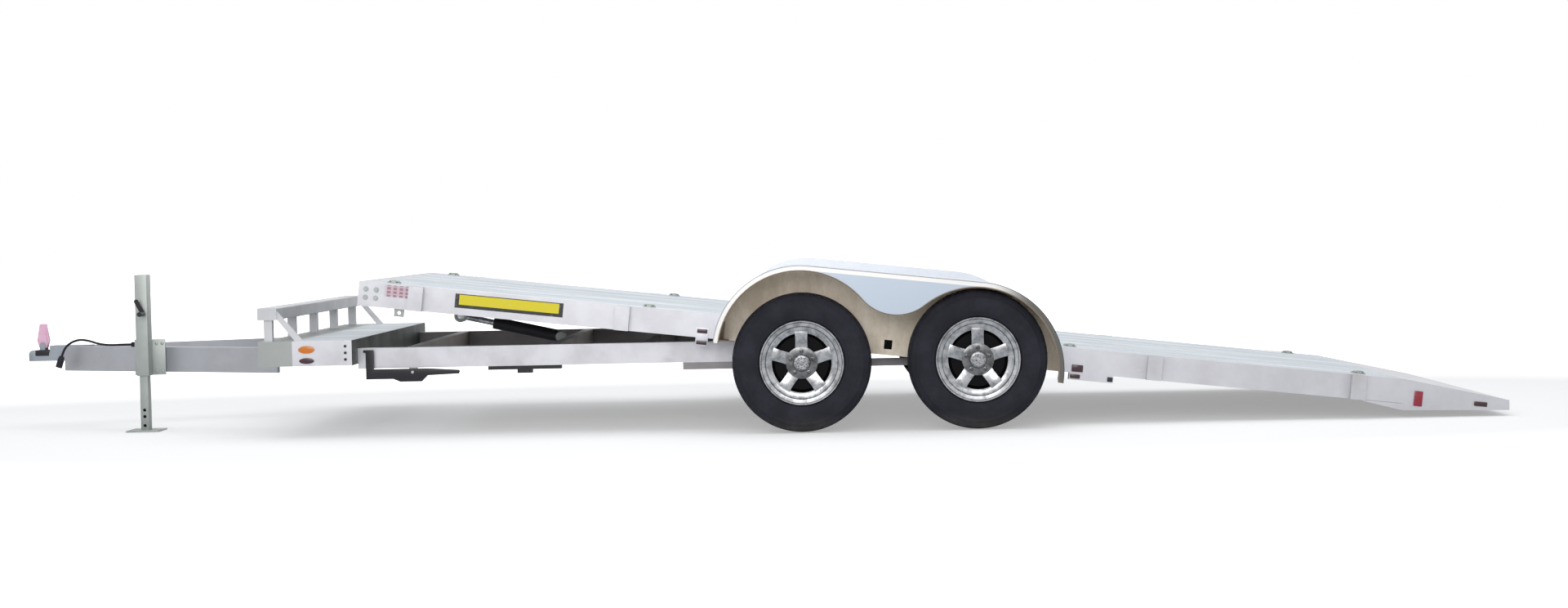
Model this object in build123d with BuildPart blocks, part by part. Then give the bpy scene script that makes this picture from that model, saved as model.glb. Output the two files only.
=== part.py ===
import os
from math import atan2, cos, degrees, hypot, pi, radians, sin, tan

from build123d import *

os.makedirs("parts", exist_ok=True)

# Tilt trailer with two axles, an A-frame tongue and a deck that tips about one cross pin.
# Millimetres, +X towards the tail, +Z up, ground at z = 0, origin under the middle of the box.
# The bed is drawn in its level travelling position and turned about the pivot to its rest tilt.

# Overall layout, as distances from the bed pivot
bed_tilt_angle = 6.5
front_reach = 4042.5
tail_reach = 3430.5
pivot_height = 450.0
pivot_x = (front_reach - tail_reach) / 2
nose_x = pivot_x - front_reach
tail_x = pivot_x + tail_reach

# Running clearances
side_clearance = 5.0
seat_gap = 0.3
pin_clearance = 0.1

# Chassis rails, level under the bed
rail_width = 50.0
rail_height = 100.0
rail_wall = 5.0
rail_top = 425.0
rail_outer = 885.0
rail_y = rail_outer - rail_width / 2
rail_front_x = pivot_x - 2120.5
rail_rear_x = pivot_x + 44.0
axle_rail_height = 35.0
axle_rail_front_x = pivot_x - 531.0
axle_rail_rear_x = pivot_x + 814.0
rail_bottom = rail_top - rail_height
axle_rail_bottom = rail_bottom - axle_rail_height

# Cross-members between the chassis rails
cross_width = 50.0
cross_height = 76.0
cross_offsets = (-1866.0, -1166.0, -700.0, -300.0, 19.0)
rear_cross_offset = 789.0

# Platform ahead of the bed
platform_half = 1030.0
platform_top = 472.0
platform_depth = 122.0
platform_length = 290.0
platform_wall = 6.0
deck_thickness = 30.0
front_beam_length = 165.0

# Stop rail over the front beam
stop_rail_width = 94.0
stop_rail_height = 59.0
stop_rail_top = 635.0
stop_post = 40.0
stop_post_pitch = 497.0
stop_brace_reach = 125.0
stop_brace_thickness = 12.0

# Tongue beams, spreading from the coupler to the front beam
tongue_height = 127.0
tongue_width = 50.0
tongue_nose_half = 28.0
tongue_angle = 25.0
tongue_nose_inset = 206.0

# Coupler for a ball of 2 5/16 in
coupler_width = 84.0
coupler_height = 56.0
coupler_top = 406.0
coupler_nose_length = 124.0
nose_fillet = 22.0
strap_length = 130.0
strap_thickness = 5.0
ball_diameter = 59.0
ball_depth = 40.0
ball_inset = 42.0

# Coupler latch lever
latch_root = 22.0
latch_tip = 30.0
latch_height = 112.0
latch_thickness = 40.0
latch_pin_diameter = 12.0
latch_inset = 80.0
ear_thickness = 6.0
ear_radius = 14.0

# Jack on the near beam
jack_inset = 727.0
jack_tube_size = 76.0
jack_tube_wall = 5.0
jack_tube_bottom = 284.0
jack_tube_top = 799.0
jack_leg_size = 51.0
jack_leg_wall = 6.0
jack_foot_size = 167.0
jack_foot_thickness = 8.0
jack_plate_width = 158.0
jack_plate_height = 183.0
jack_plate_thickness = 10.0
jack_plate_shift = 18.0
jack_leg_inside = 240.0
jack_collar = 24.0
jack_holes = (30.0, 76.0, 109.0)
jack_hole_diameter = 16.0
crank_height = 664.0
crank_shift = 17.0
crank_boss_length = 12.0
crank_shaft_diameter = 20.0
crank_arm_length = 72.0
crank_arm_width = 22.0
crank_arm_thickness = 8.0
crank_grip_diameter = 24.0
crank_grip_length = 70.0
crank_angle = -62.0

# Axles: torsion tubes with trailing arms to the spindles
axle_spread = 833.0
front_spindle_offset = 53.5
spindle_height = 331.5
axle_tube_size = 76.0
axle_lead = 152.0
arm_width = 64.0
arm_thickness = 15.0
arm_inner = 1038.0
spindle_diameter = 40.0
front_spindle_x = pivot_x + front_spindle_offset
rear_spindle_x = front_spindle_x + axle_spread
axle_height = axle_rail_bottom - axle_tube_size / 2

# Wheels
wheel_y = 1160.0
tyre_radius = 331.5
tyre_half = 101.5
bead_radius = 180.0
flange_radius = 201.0
rim_half = 84.0
rim_wall = 7.0
disc_offset = 44.0
disc_thickness = 14.0
spoke_count = 5
spoke_turn = 90.0
window_corner = 6.0
hub_radius = 42.0
hub_reach = 26.0
cap_fillet = 14.0
drum_radius = 128.0
drum_width = 62.0
nut_circle = 57.0
nut_diameter = 21.0
nut_height = 14.0
window_inner = 80.0
window_outer = 162.0
window_inner_half = 12.0
window_outer_half = 25.0
shoulder_drop = 9.0
bulge_radius = 262.0

# Bed, in its level travelling position
bed_half = 1029.0
bed_rail_width = 50.0
bed_rail_height = 118.0
bed_rail_bottom = 402.0
bed_front_x = pivot_x - 2097.5
bed_rail_end_x = pivot_x + 2945.0
bed_top = bed_rail_bottom + bed_rail_height
bed_inner = bed_half - bed_rail_width
member_height = 60.0
member_width = 50.0
member_wall = 6.0
pivot_member_offset = 75.0
front_member_offsets = (-435.0, -795.0, -1155.0, -1475.0, -1748.7)
member_pitch_rear = 410.0
rear_members = 7
plank_count = 8
plank_skin = 6.0
plank_leg = 5.0
groove_width = 6.0
groove_depth = 3.0

# Tail wedge, its underside level with the ground at rest
wedge_bottom = 28.0
wedge_tip_height = 47.0
wedge_drop = 33.0
wedge_wall = 8.0
wedge_skin = 10.0
wedge_end_bar = 40.0
wedge_bays = 6

# Fenders over both wheels of a side
fender_outer = 1289.0
fender_sheet = 4.0
fender_radius = 430.0
fender_rise = 54.5
skirt_height = 39.0
hem_front_z = 397.0
hem_rear_z = 361.0
skirt_dip = 609.0
well_sheet = 3.0

# Stake pockets on the bed rails
pocket_length = 70.0
pocket_reach = 38.0
pocket_wall = 6.0
pocket_offsets = (-1815.0, -815.5, 1748.5, 2723.5)

# Pivot
pivot_pin_diameter = 25.4
pivot_lug_thickness = 12.0
pivot_lug_radius = 24.0
bed_lug_radius = 20.0

# Tilt cylinder between a chassis cross-member and the bed
cylinder_pin_offset = -1226.0
cylinder_pin_height = 424.0
cylinder_bed_offset = -1748.7
cylinder_bed_height = 343.4
cylinder_pin_diameter = 25.4
cylinder_radius = 32.0
cylinder_bore = 50.0
cylinder_length = 360.0
cylinder_rod_diameter = 32.0
cylinder_eye_radius = 25.0
cylinder_eye_width = 40.0
cylinder_lug_thickness = 12.0
cylinder_slot = 5.0
slot_clearance = 2.0
cylinder_cap = 24.0
bracket_width = 64.0

# Latch keeper and lever at the near side
keeper_offset = -1896.0
keeper_length = 47.0
keeper_drop = 37.0
keeper_thickness = 12.0
lever_thickness = 12.0
lever_pin_offset = -1851.0
lever_pin_z = 305.0
lever_pin_diameter = 14.0
lever_front_x = pivot_x - 2079.0
lever_rear_x = pivot_x - 1622.0
lever_post = 30.0
lever_tooth = 12.0
lever_bottom = 288.0
lever_shelf = 320.0
lever_top = 404.0
lever_foot = 22.0

# Small fittings under the rails
bracket_offset = -1305.0
bracket_length = 358.0
bracket_height = 18.0
skid_offset = 1348.0
skid_length = 212.0
skid_height = 34.0

# Lamps: offset from the pivot, height, length and height of each pair on the bed rails
lamp_depth = 8.0
bed_lamp_places = (
    (-425.0, 496.0, 50.0, 20.0),
    (-425.0, 440.0, 44.0, 16.0),
    (1360.0, 476.0, 56.0, 30.0),
    (2898.0, 450.0, 46.0, 62.0),
)
platform_lamp_inset = 70.0
platform_lamp_heights = (430.0, 376.0)
platform_lamp_length = 78.0
platform_lamp_height = 36.0

# Tie-down rings
ring_offsets = (-1950.0, -700.0, 1350.0, 2750.0)
ring_y = 900.0
ring_plate = 60.0
ring_plate_thickness = 4.0
ring_radius = 26.0
ring_bar = 10.0

# Trailer lead and plug
lead_diameter = 12.0
gland_size = 24.0
plug_diameter = 34.0
plug_length = 60.0

# Derived places
platform_front_x = rail_front_x - platform_length
front_beam_x = platform_front_x - front_beam_length
platform_bottom = platform_top - platform_depth
tongue_nose_x = nose_x + tongue_nose_inset
tongue_top = rail_top
tongue_bottom = tongue_top - tongue_height
jack_x = nose_x + jack_inset

SIDES = {"left": -1, "right": 1}

bed_tilt = (
    Pos(pivot_x, 0, pivot_height) * Rot(0, bed_tilt_angle, 0) * Pos(-pivot_x, 0, -pivot_height)
)


def near_beam_face(x):
    """How far from the centreline the outer face of the near tongue beam is."""
    spread = (x - tongue_nose_x) * tan(radians(tongue_angle))
    return -(tongue_nose_half + spread + tongue_width / 2 / cos(radians(tongue_angle)))


jack_y = (
    near_beam_face(jack_x + jack_plate_shift + jack_plate_width / 2)
    - jack_plate_thickness
    - jack_tube_size / 2
)


def on_bed(plane):
    """A plane drawn in the travelling position, carried to where the bed rests."""
    return Plane(bed_tilt * plane.location)


def upright_at(y):
    """An upright plane at a distance from the centreline, read as x and z."""
    return Plane.XZ.offset(-y)


def bed_point(x, z):
    """Where a point of the level bed lies once the bed is at rest."""
    turn = radians(bed_tilt_angle)
    run = x - pivot_x
    rise = z - pivot_height
    return (
        pivot_x + run * cos(turn) + rise * sin(turn),
        pivot_height - run * sin(turn) + rise * cos(turn),
    )


def closed_tube(plane, centre, width, height, wall, length):
    """A rectangular tube with welded end caps, drawn along the plane's normal."""
    with BuildSketch(plane) as outside:
        with Locations(centre):
            Rectangle(width, height)
    extrude(outside.sketch, amount=length)
    with BuildSketch(plane.offset(wall)) as inside:
        with Locations(centre):
            Rectangle(width - 2 * wall, height - 2 * wall)
    extrude(inside.sketch, amount=length - 2 * wall, mode=Mode.SUBTRACT)


def save(builder, name):
    """Label the finished piece and write it to its own file."""
    builder.part.label = name
    export_step(builder.part, f"parts/{name}.step")


# Chassis rails with the low axle rails welded under their rear ends
for side, sign in SIDES.items():
    with BuildPart() as chassis_rail:
        closed_tube(
            Plane.YZ.offset(rail_front_x),
            (sign * rail_y, rail_top - rail_height / 2),
            rail_width,
            rail_height,
            rail_wall,
            rail_rear_x - rail_front_x,
        )
        closed_tube(
            Plane.YZ.offset(axle_rail_front_x),
            (sign * rail_y, rail_bottom - axle_rail_height / 2),
            rail_width,
            axle_rail_height,
            rail_wall,
            axle_rail_rear_x - axle_rail_front_x,
        )
    save(chassis_rail, f"chassis_rail_{side}")

# Cross-members that tie the two chassis rails
with BuildPart() as chassis_crossmembers:
    for offset_x in cross_offsets:
        closed_tube(
            Plane.XZ.offset(-(rail_y - rail_width / 2)),
            (pivot_x + offset_x, rail_top - cross_height / 2),
            cross_width,
            cross_height,
            rail_wall,
            2 * rail_y - rail_width,
        )
    closed_tube(
        Plane.XZ.offset(-(rail_y - rail_width / 2)),
        (pivot_x + rear_cross_offset, rail_bottom - axle_rail_height / 2),
        cross_width,
        axle_rail_height,
        rail_wall,
        2 * rail_y - rail_width,
    )
save(chassis_crossmembers, "chassis_crossmembers")

# Pivot lugs that stand on the chassis rails, each with its cross pin
pivot_lug_y = rail_outer - rail_width / 2
with BuildPart() as pivot_brackets:
    for sign in SIDES.values():
        with BuildSketch(upright_at(sign * pivot_lug_y)):
            with Locations((pivot_x, pivot_height)):
                Circle(pivot_lug_radius)
            with Locations((pivot_x, (pivot_height + rail_top) / 2)):
                Rectangle(2 * pivot_lug_radius, pivot_height - rail_top)
        extrude(amount=pivot_lug_thickness / 2, both=True)
        with BuildSketch(upright_at(sign * pivot_lug_y)):
            with Locations((pivot_x, pivot_height)):
                Circle(pivot_pin_diameter / 2)
        extrude(amount=pivot_lug_thickness * 2, both=True)
save(pivot_brackets, "pivot_brackets")

# Front beam across the tongue
with BuildPart() as front_beam:
    closed_tube(
        Plane.XZ.offset(-platform_half),
        (front_beam_x + front_beam_length / 2, platform_top - platform_depth / 2),
        front_beam_length,
        platform_depth,
        platform_wall,
        2 * platform_half,
    )
save(front_beam, "front_beam")

# Platform frame: two channels across and an end plate at each side
platform_deck_bottom = platform_top - deck_thickness
with BuildPart() as platform_frame:
    with BuildSketch(Plane.XY.offset(platform_bottom)):
        with Locations((platform_front_x + platform_length / 2, 0)):
            Rectangle(platform_length, 2 * platform_half)
            Rectangle(
                platform_length - 2 * platform_wall,
                2 * (platform_half - platform_wall),
                mode=Mode.SUBTRACT,
            )
    extrude(amount=platform_depth)
    with BuildSketch(Plane.XY.offset(platform_bottom)):
        with Locations((platform_front_x + platform_length / 2, 0)):
            Rectangle(platform_length - 2 * platform_wall, 2 * (platform_half - platform_wall))
            Rectangle(
                platform_length - 2 * cross_width,
                2 * (platform_half - cross_width),
                mode=Mode.SUBTRACT,
            )
    extrude(amount=platform_wall)
save(platform_frame, "platform_frame")

# Platform deck plank set into its frame
with BuildPart() as platform_deck:
    with BuildSketch(Plane.XY.offset(platform_deck_bottom)):
        with Locations((platform_front_x + platform_length / 2, 0)):
            Rectangle(platform_length - 2 * platform_wall, 2 * (platform_half - platform_wall))
    extrude(amount=deck_thickness)
save(platform_deck, "platform_deck")

# Stop rail: cross tube, five posts and an end brace at each side
stop_rail_x = front_beam_x + stop_rail_width / 2
with BuildPart() as stop_rail:
    with BuildSketch(Plane.XZ.offset(-platform_half)):
        with Locations((stop_rail_x, stop_rail_top - stop_rail_height / 2)):
            RectangleRounded(stop_rail_width, stop_rail_height, platform_wall)
    extrude(amount=2 * platform_half)
    with BuildSketch(Plane.XY.offset(platform_top)):
        with GridLocations(0, stop_post_pitch, 1, 5):
            with Locations((stop_rail_x, 0)):
                Rectangle(stop_post, stop_post)
    extrude(amount=stop_rail_top - stop_rail_height - platform_top)
    for sign in SIDES.values():
        brace_top = (stop_rail_x + stop_rail_width / 2, stop_rail_top - stop_rail_height / 2)
        brace_foot = (brace_top[0] + stop_brace_reach, platform_top)
        with BuildSketch(upright_at(sign * (platform_half - stop_brace_thickness))):
            with BuildLine():
                Polyline(
                    (brace_top[0] - platform_wall, brace_top[1] + stop_post / 2),
                    (brace_top[0] - platform_wall, brace_top[1] - stop_post / 2),
                    (brace_foot[0] - stop_post, brace_foot[1]),
                    brace_foot,
                    close=True,
                )
            make_face()
        extrude(amount=stop_brace_thickness / 2, both=True)
save(stop_rail, "stop_rail")

# Tongue beams
for side, sign in SIDES.items():
    run = front_beam_x - tongue_nose_x
    spread = sign * run * tan(radians(tongue_angle))
    start = (tongue_nose_x, sign * tongue_nose_half)
    end = (front_beam_x, sign * tongue_nose_half + spread)
    half_cut = tongue_width / 2 / cos(radians(tongue_angle))
    with BuildPart() as tongue_beam:
        with BuildSketch(Plane.XY.offset(tongue_bottom)):
            with BuildLine():
                Polyline(
                    (start[0], start[1] - half_cut),
                    (start[0], start[1] + half_cut),
                    (end[0], end[1] + half_cut),
                    (end[0], end[1] - half_cut),
                    close=True,
                )
            make_face()
        extrude(amount=tongue_height)
        if sign > 0:
            split(bisect_by=Plane.XZ, keep=Keep.BOTTOM)
        else:
            split(bisect_by=Plane.XZ, keep=Keep.TOP)
    save(tongue_beam, f"tongue_beam_{side}")

# Coupler: a domed nose over the ball, a body that butts on the beams and a strap over them
ball_x = nose_x + ball_inset
coupler_bottom = coupler_top - coupler_height
body_front_x = nose_x + coupler_nose_length
latch_pin_x = nose_x + latch_inset
latch_pin_z = coupler_top + side_clearance + latch_root
ear_y = latch_thickness / 2 + side_clearance / 2 + ear_thickness / 2
with BuildPart() as coupler:
    with BuildSketch(Plane.XY.offset(coupler_bottom)):
        with Locations((ball_x, 0)):
            Circle(ball_inset)
        with Locations(((ball_x + body_front_x) / 2, 0)):
            Rectangle(body_front_x - ball_x, coupler_width)
    extrude(amount=coupler_height)
    nose_edges = coupler.edges().group_by(Axis.Z)[-1].filter_by(GeomType.CIRCLE)
    fillet(nose_edges, radius=nose_fillet)
    with BuildSketch(Plane.XY.offset(coupler_bottom)):
        with Locations(((body_front_x + tongue_nose_x) / 2, 0)):
            Rectangle(tongue_nose_x - body_front_x, coupler_width)
    extrude(amount=tongue_top + strap_thickness - coupler_bottom)
    with BuildSketch(Plane.XY.offset(tongue_top)):
        with Locations((tongue_nose_x + strap_length / 2, 0)):
            Rectangle(strap_length, coupler_width)
    extrude(amount=strap_thickness)
    for sign in SIDES.values():
        with BuildSketch(upright_at(sign * ear_y)):
            with Locations((latch_pin_x, latch_pin_z)):
                Circle(ear_radius)
            with Locations((latch_pin_x, (latch_pin_z + coupler_top - ear_thickness) / 2)):
                Rectangle(2 * ear_radius, latch_pin_z - coupler_top + ear_thickness)
        extrude(amount=ear_thickness / 2, both=True)
    with BuildSketch(upright_at(0)):
        with Locations((latch_pin_x, latch_pin_z)):
            Circle(latch_pin_diameter / 2)
    extrude(amount=ear_y, both=True)
    with BuildSketch(Plane.XY.offset(coupler_bottom)):
        with Locations((ball_x, 0)):
            Circle(ball_diameter / 2)
    extrude(amount=ball_depth, mode=Mode.SUBTRACT)
save(coupler, "coupler")

# Latch lever that turns on the pin between the coupler's ears
with BuildPart() as coupler_latch:
    with BuildSketch(upright_at(0)):
        with BuildLine():
            Polyline(
                (latch_pin_x - latch_root, latch_pin_z),
                (latch_pin_x - latch_tip / 2, latch_pin_z + latch_height),
                (latch_pin_x + latch_tip / 2, latch_pin_z + latch_height),
                (latch_pin_x + latch_root, latch_pin_z),
                close=True,
            )
        make_face()
        with Locations((latch_pin_x, latch_pin_z)):
            Circle(latch_root)
    extrude(amount=latch_thickness / 2, both=True)
    fillet(coupler_latch.edges().group_by(Axis.Z)[-1], radius=latch_tip / 4)
    with BuildSketch(upright_at(0)):
        with Locations((latch_pin_x, latch_pin_z)):
            Circle(latch_pin_diameter / 2 + pin_clearance)
    extrude(amount=latch_thickness, both=True, mode=Mode.SUBTRACT)
save(coupler_latch, "coupler_latch")

# Jack tube with its guide collar and crank boss, on a plate and gussets on the near beam
jack_face_y = jack_y - jack_tube_size / 2
plate_back_y = jack_y + jack_tube_size / 2 + jack_plate_thickness
plate_x = jack_x + jack_plate_shift
crank_x = jack_x - crank_shift
jack_middle_z = jack_tube_bottom + jack_plate_height / 2
with BuildPart() as jack_tube:
    with BuildSketch(Plane.XY.offset(jack_tube_bottom)):
        with Locations((jack_x, jack_y)):
            RectangleRounded(jack_tube_size, jack_tube_size, jack_tube_wall)
    extrude(amount=jack_tube_top - jack_tube_bottom)
    with BuildSketch(Plane.XZ.offset(-plate_back_y)):
        with Locations((plate_x, jack_middle_z)):
            Rectangle(jack_plate_width, jack_plate_height)
    extrude(amount=jack_plate_thickness)
    for gusset_z in (tongue_bottom, tongue_top - jack_plate_thickness):
        with BuildSketch(Plane.XY.offset(gusset_z)):
            with BuildLine():
                Polyline(
                    (plate_x - jack_plate_width / 2, plate_back_y),
                    (plate_x + jack_plate_width / 2, plate_back_y),
                    (plate_x - jack_plate_width / 2, near_beam_face(plate_x - jack_plate_width / 2)),
                    close=True,
                )
            make_face()
        extrude(amount=jack_plate_thickness)
    with BuildSketch(Plane.XZ.offset(-jack_face_y)):
        with Locations((crank_x, crank_height)):
            Circle(crank_shaft_diameter)
    extrude(amount=crank_boss_length)
    with BuildSketch(Plane.XY.offset(jack_tube_bottom)):
        with Locations((jack_x, jack_y)):
            Rectangle(jack_tube_size - 2 * jack_tube_wall, jack_tube_size - 2 * jack_tube_wall)
    extrude(amount=jack_tube_top - jack_tube_bottom - jack_tube_wall, mode=Mode.SUBTRACT)
    with BuildSketch(Plane.XY.offset(jack_tube_bottom)):
        with Locations((jack_x, jack_y)):
            Rectangle(jack_tube_size - jack_tube_wall, jack_tube_size - jack_tube_wall)
            Rectangle(
                jack_leg_size + 2 * seat_gap,
                jack_leg_size + 2 * seat_gap,
                mode=Mode.SUBTRACT,
            )
    extrude(amount=jack_collar)
    with BuildSketch(Plane.XZ.offset(-jack_face_y)):
        with Locations((crank_x, crank_height)):
            Circle(crank_shaft_diameter / 2 + pin_clearance)
    extrude(amount=crank_boss_length, mode=Mode.SUBTRACT)
save(jack_tube, "jack_tube")

# Crank: a shaft in the boss, an arm and a grip
crank_arm_y = jack_face_y - crank_boss_length - side_clearance - crank_arm_thickness / 2
crank_turn = radians(crank_angle)
grip_x = crank_x + crank_arm_length * cos(crank_turn)
grip_z = crank_height + crank_arm_length * sin(crank_turn)
with BuildPart() as jack_crank:
    with BuildSketch(Plane.XZ.offset(-jack_face_y)):
        with Locations((crank_x, crank_height)):
            Circle(crank_shaft_diameter / 2)
    extrude(amount=crank_boss_length + side_clearance + crank_arm_thickness)
    with BuildSketch(upright_at(crank_arm_y)):
        with Locations(((crank_x + grip_x) / 2, (crank_height + grip_z) / 2)):
            SlotCenterToCenter(crank_arm_length, crank_arm_width, rotation=crank_angle)
    extrude(amount=crank_arm_thickness / 2, both=True)
    with BuildSketch(upright_at(crank_arm_y)):
        with Locations((grip_x, grip_z)):
            Circle(crank_grip_diameter / 2)
    extrude(amount=crank_grip_length)
save(jack_crank, "jack_crank")

# Jack leg that winds out of the tube, with pin holes and its foot on the ground
with BuildPart() as jack_leg:
    with BuildSketch(Plane.XY):
        with Locations((jack_x, jack_y)):
            RectangleRounded(jack_foot_size, jack_foot_size, jack_leg_wall * 2)
    extrude(amount=jack_foot_thickness)
    with BuildSketch(Plane.XY.offset(jack_foot_thickness)):
        with Locations((jack_x, jack_y)):
            Rectangle(jack_leg_size, jack_leg_size)
    extrude(amount=jack_tube_bottom + jack_leg_inside - jack_foot_thickness)
    with BuildSketch(Plane.XZ.offset(-(jack_y + jack_leg_size / 2))):
        for hole_z in jack_holes:
            with Locations((jack_x, hole_z)):
                Circle(jack_hole_diameter / 2)
    extrude(amount=jack_leg_size, mode=Mode.SUBTRACT)
save(jack_leg, "jack_leg")

# Axles
for name, spindle_x in (("front", front_spindle_x), ("rear", rear_spindle_x)):
    tube_x = spindle_x - axle_lead
    with BuildPart() as axle:
        with BuildSketch(Plane.XZ.offset(-arm_inner)):
            with Locations((tube_x, axle_height)):
                Rectangle(axle_tube_size, axle_tube_size)
        extrude(amount=2 * arm_inner)
        arm_run = spindle_x - tube_x
        arm_rise = spindle_height - axle_height
        for sign in SIDES.values():
            with BuildSketch(upright_at(sign * (arm_inner + arm_thickness / 2))):
                with Locations(((tube_x + spindle_x) / 2, (axle_height + spindle_height) / 2)):
                    SlotCenterToCenter(
                        hypot(arm_run, arm_rise),
                        arm_width,
                        rotation=degrees(atan2(arm_rise, arm_run)),
                    )
            extrude(amount=arm_thickness / 2, both=True)
            spindle_inner = arm_inner + arm_thickness
            spindle_outer = wheel_y + disc_offset + disc_thickness / 2
            with BuildSketch(upright_at(sign * (spindle_inner + spindle_outer) / 2)):
                with Locations((spindle_x, spindle_height)):
                    Circle(spindle_diameter / 2)
            extrude(amount=(spindle_outer - spindle_inner) / 2, both=True)
    save(axle, f"axle_{name}")

# Wheels: a tyre, a spoked rim and a hub with its brake drum at each spindle
window_turns = [spoke_turn + 360 / spoke_count * (step + 0.5) for step in range(spoke_count)]
sidewall_foot = flange_radius + seat_gap * 4
shoulder_out = tyre_half - shoulder_drop * 2
shoulder_radius = tyre_radius - shoulder_drop

# A window between two spokes, widening to the rim, drawn about the wheel's own centre
with BuildSketch() as window:
    with BuildLine():
        inner_low = PolarLine((0, 0), window_inner, -window_inner_half, mode=Mode.PRIVATE) @ 1
        inner_high = PolarLine((0, 0), window_inner, window_inner_half, mode=Mode.PRIVATE) @ 1
        outer_low = PolarLine((0, 0), window_outer, -window_outer_half, mode=Mode.PRIVATE) @ 1
        outer_high = PolarLine((0, 0), window_outer, window_outer_half, mode=Mode.PRIVATE) @ 1
        Line(inner_low, outer_low)
        ThreePointArc(outer_low, (window_outer, 0), outer_high)
        Polyline(outer_high, inner_high, inner_low)
    make_face()
    fillet(window.vertices(), radius=window_corner)

for end, spindle_x in (("front", front_spindle_x), ("rear", rear_spindle_x)):
    spin = Axis((spindle_x, 0, spindle_height), (0, 1, 0))
    for side, sign in SIDES.items():

        def section(out, radius):
            """A point of the wheel's section, by its reach outboard and its radius."""
            return (sign * (wheel_y + out), spindle_height + radius)

        seat_out = rim_half - rim_wall
        with BuildPart() as tyre:
            with BuildSketch(Plane.YZ.offset(spindle_x)):
                with BuildLine():
                    ThreePointArc(
                        section(-shoulder_out, shoulder_radius),
                        section(0, tyre_radius),
                        section(shoulder_out, shoulder_radius),
                    )
                    ThreePointArc(
                        section(shoulder_out, shoulder_radius),
                        section(tyre_half, bulge_radius),
                        section(seat_out, sidewall_foot),
                    )
                    Polyline(
                        section(seat_out, sidewall_foot),
                        section(seat_out - seat_gap, bead_radius),
                        section(seat_gap - seat_out, bead_radius),
                        section(-seat_out, sidewall_foot),
                    )
                    ThreePointArc(
                        section(-seat_out, sidewall_foot),
                        section(-tyre_half, bulge_radius),
                        section(-shoulder_out, shoulder_radius),
                    )
                make_face()
            revolve(axis=spin)
        save(tyre, f"tyre_{end}_{side}")

        disc_edge = bead_radius - rim_wall / 2
        bore_radius = spindle_diameter / 2 + pin_clearance
        disc_out = disc_offset + disc_thickness
        with BuildPart() as rim:
            with BuildSketch(Plane.YZ.offset(spindle_x)):
                with BuildLine():
                    Polyline(
                        section(rim_half, flange_radius),
                        section(seat_out, flange_radius),
                        section(seat_out, bead_radius - seat_gap),
                        section(-seat_out, bead_radius - seat_gap),
                        section(-seat_out, flange_radius),
                        section(-rim_half, flange_radius),
                        section(-rim_half, bead_radius - rim_wall),
                        section(rim_half, bead_radius - rim_wall),
                        close=True,
                    )
                make_face()
                with BuildLine():
                    Polyline(
                        section(disc_offset, bore_radius),
                        section(disc_offset, disc_edge),
                        section(disc_out, disc_edge),
                        section(disc_out, bore_radius),
                        close=True,
                    )
                make_face()
            revolve(axis=spin)
            with BuildSketch(upright_at(sign * (wheel_y + disc_offset + disc_thickness / 2))):
                with Locations((spindle_x, spindle_height)):
                    for turn in window_turns:
                        add(window.sketch, rotation=turn)
            extrude(amount=disc_thickness, both=True, mode=Mode.SUBTRACT)
            with BuildSketch(upright_at(sign * (wheel_y + disc_out + nut_height / 2))):
                with Locations((spindle_x, spindle_height)):
                    with PolarLocations(nut_circle, spoke_count, start_angle=spoke_turn):
                        RegularPolygon(nut_diameter / 2, 6)
            extrude(amount=nut_height / 2, both=True)
        save(rim, f"rim_{end}_{side}")

        with BuildPart() as hub:
            with BuildSketch(Plane.YZ.offset(spindle_x)):
                with BuildLine():
                    Polyline(
                        section(disc_offset, bore_radius),
                        section(disc_offset - drum_width, bore_radius),
                        section(disc_offset - drum_width, drum_radius),
                        section(disc_offset, drum_radius),
                        close=True,
                    )
                make_face()
            revolve(axis=spin)
            with BuildSketch(upright_at(sign * (wheel_y + disc_out + hub_reach / 2))):
                with Locations((spindle_x, spindle_height)):
                    Circle(hub_radius)
            extrude(amount=hub_reach / 2, both=True)
            cap_edges = hub.edges().filter_by(GeomType.CIRCLE).sort_by(Axis.Y)
            fillet(cap_edges[-1] if sign > 0 else cap_edges[0], radius=cap_fillet)
        save(hub, f"hub_{end}_{side}")

# Bed side rails
for side, sign in SIDES.items():
    with BuildPart() as bed_rail:
        closed_tube(
            on_bed(Plane.YZ.offset(bed_front_x)),
            (sign * (bed_half - bed_rail_width / 2), bed_rail_bottom + bed_rail_height / 2),
            bed_rail_width,
            bed_rail_height,
            rail_wall,
            bed_rail_end_x - bed_front_x,
        )
    save(bed_rail, f"bed_rail_{side}")

# Header across the front of the bed, no deeper than the channels so that it clears the chassis
header_height = member_height + deck_thickness
with BuildPart() as bed_header:
    closed_tube(
        on_bed(upright_at(bed_inner)),
        (bed_front_x + bed_rail_width / 2, bed_top - header_height / 2),
        bed_rail_width,
        header_height,
        rail_wall,
        2 * bed_inner,
    )
save(bed_header, "bed_header")

# Channels across the bed under its planks
member_bottom = bed_top - deck_thickness - member_height
member_offsets = [-pivot_member_offset, *front_member_offsets]
member_offsets += [pivot_member_offset + step * member_pitch_rear for step in range(rear_members)]
with BuildPart() as bed_crossmembers:
    with BuildSketch(on_bed(upright_at(bed_inner))):
        for offset_x in member_offsets:
            with Locations((pivot_x + offset_x, member_bottom + member_height / 2)):
                Rectangle(member_width, member_height)
            with Locations((pivot_x + offset_x + member_wall, member_bottom + member_height / 2)):
                Rectangle(member_width, member_height - 2 * member_wall, mode=Mode.SUBTRACT)
    extrude(amount=2 * bed_inner)
save(bed_crossmembers, "bed_crossmembers")

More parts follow.
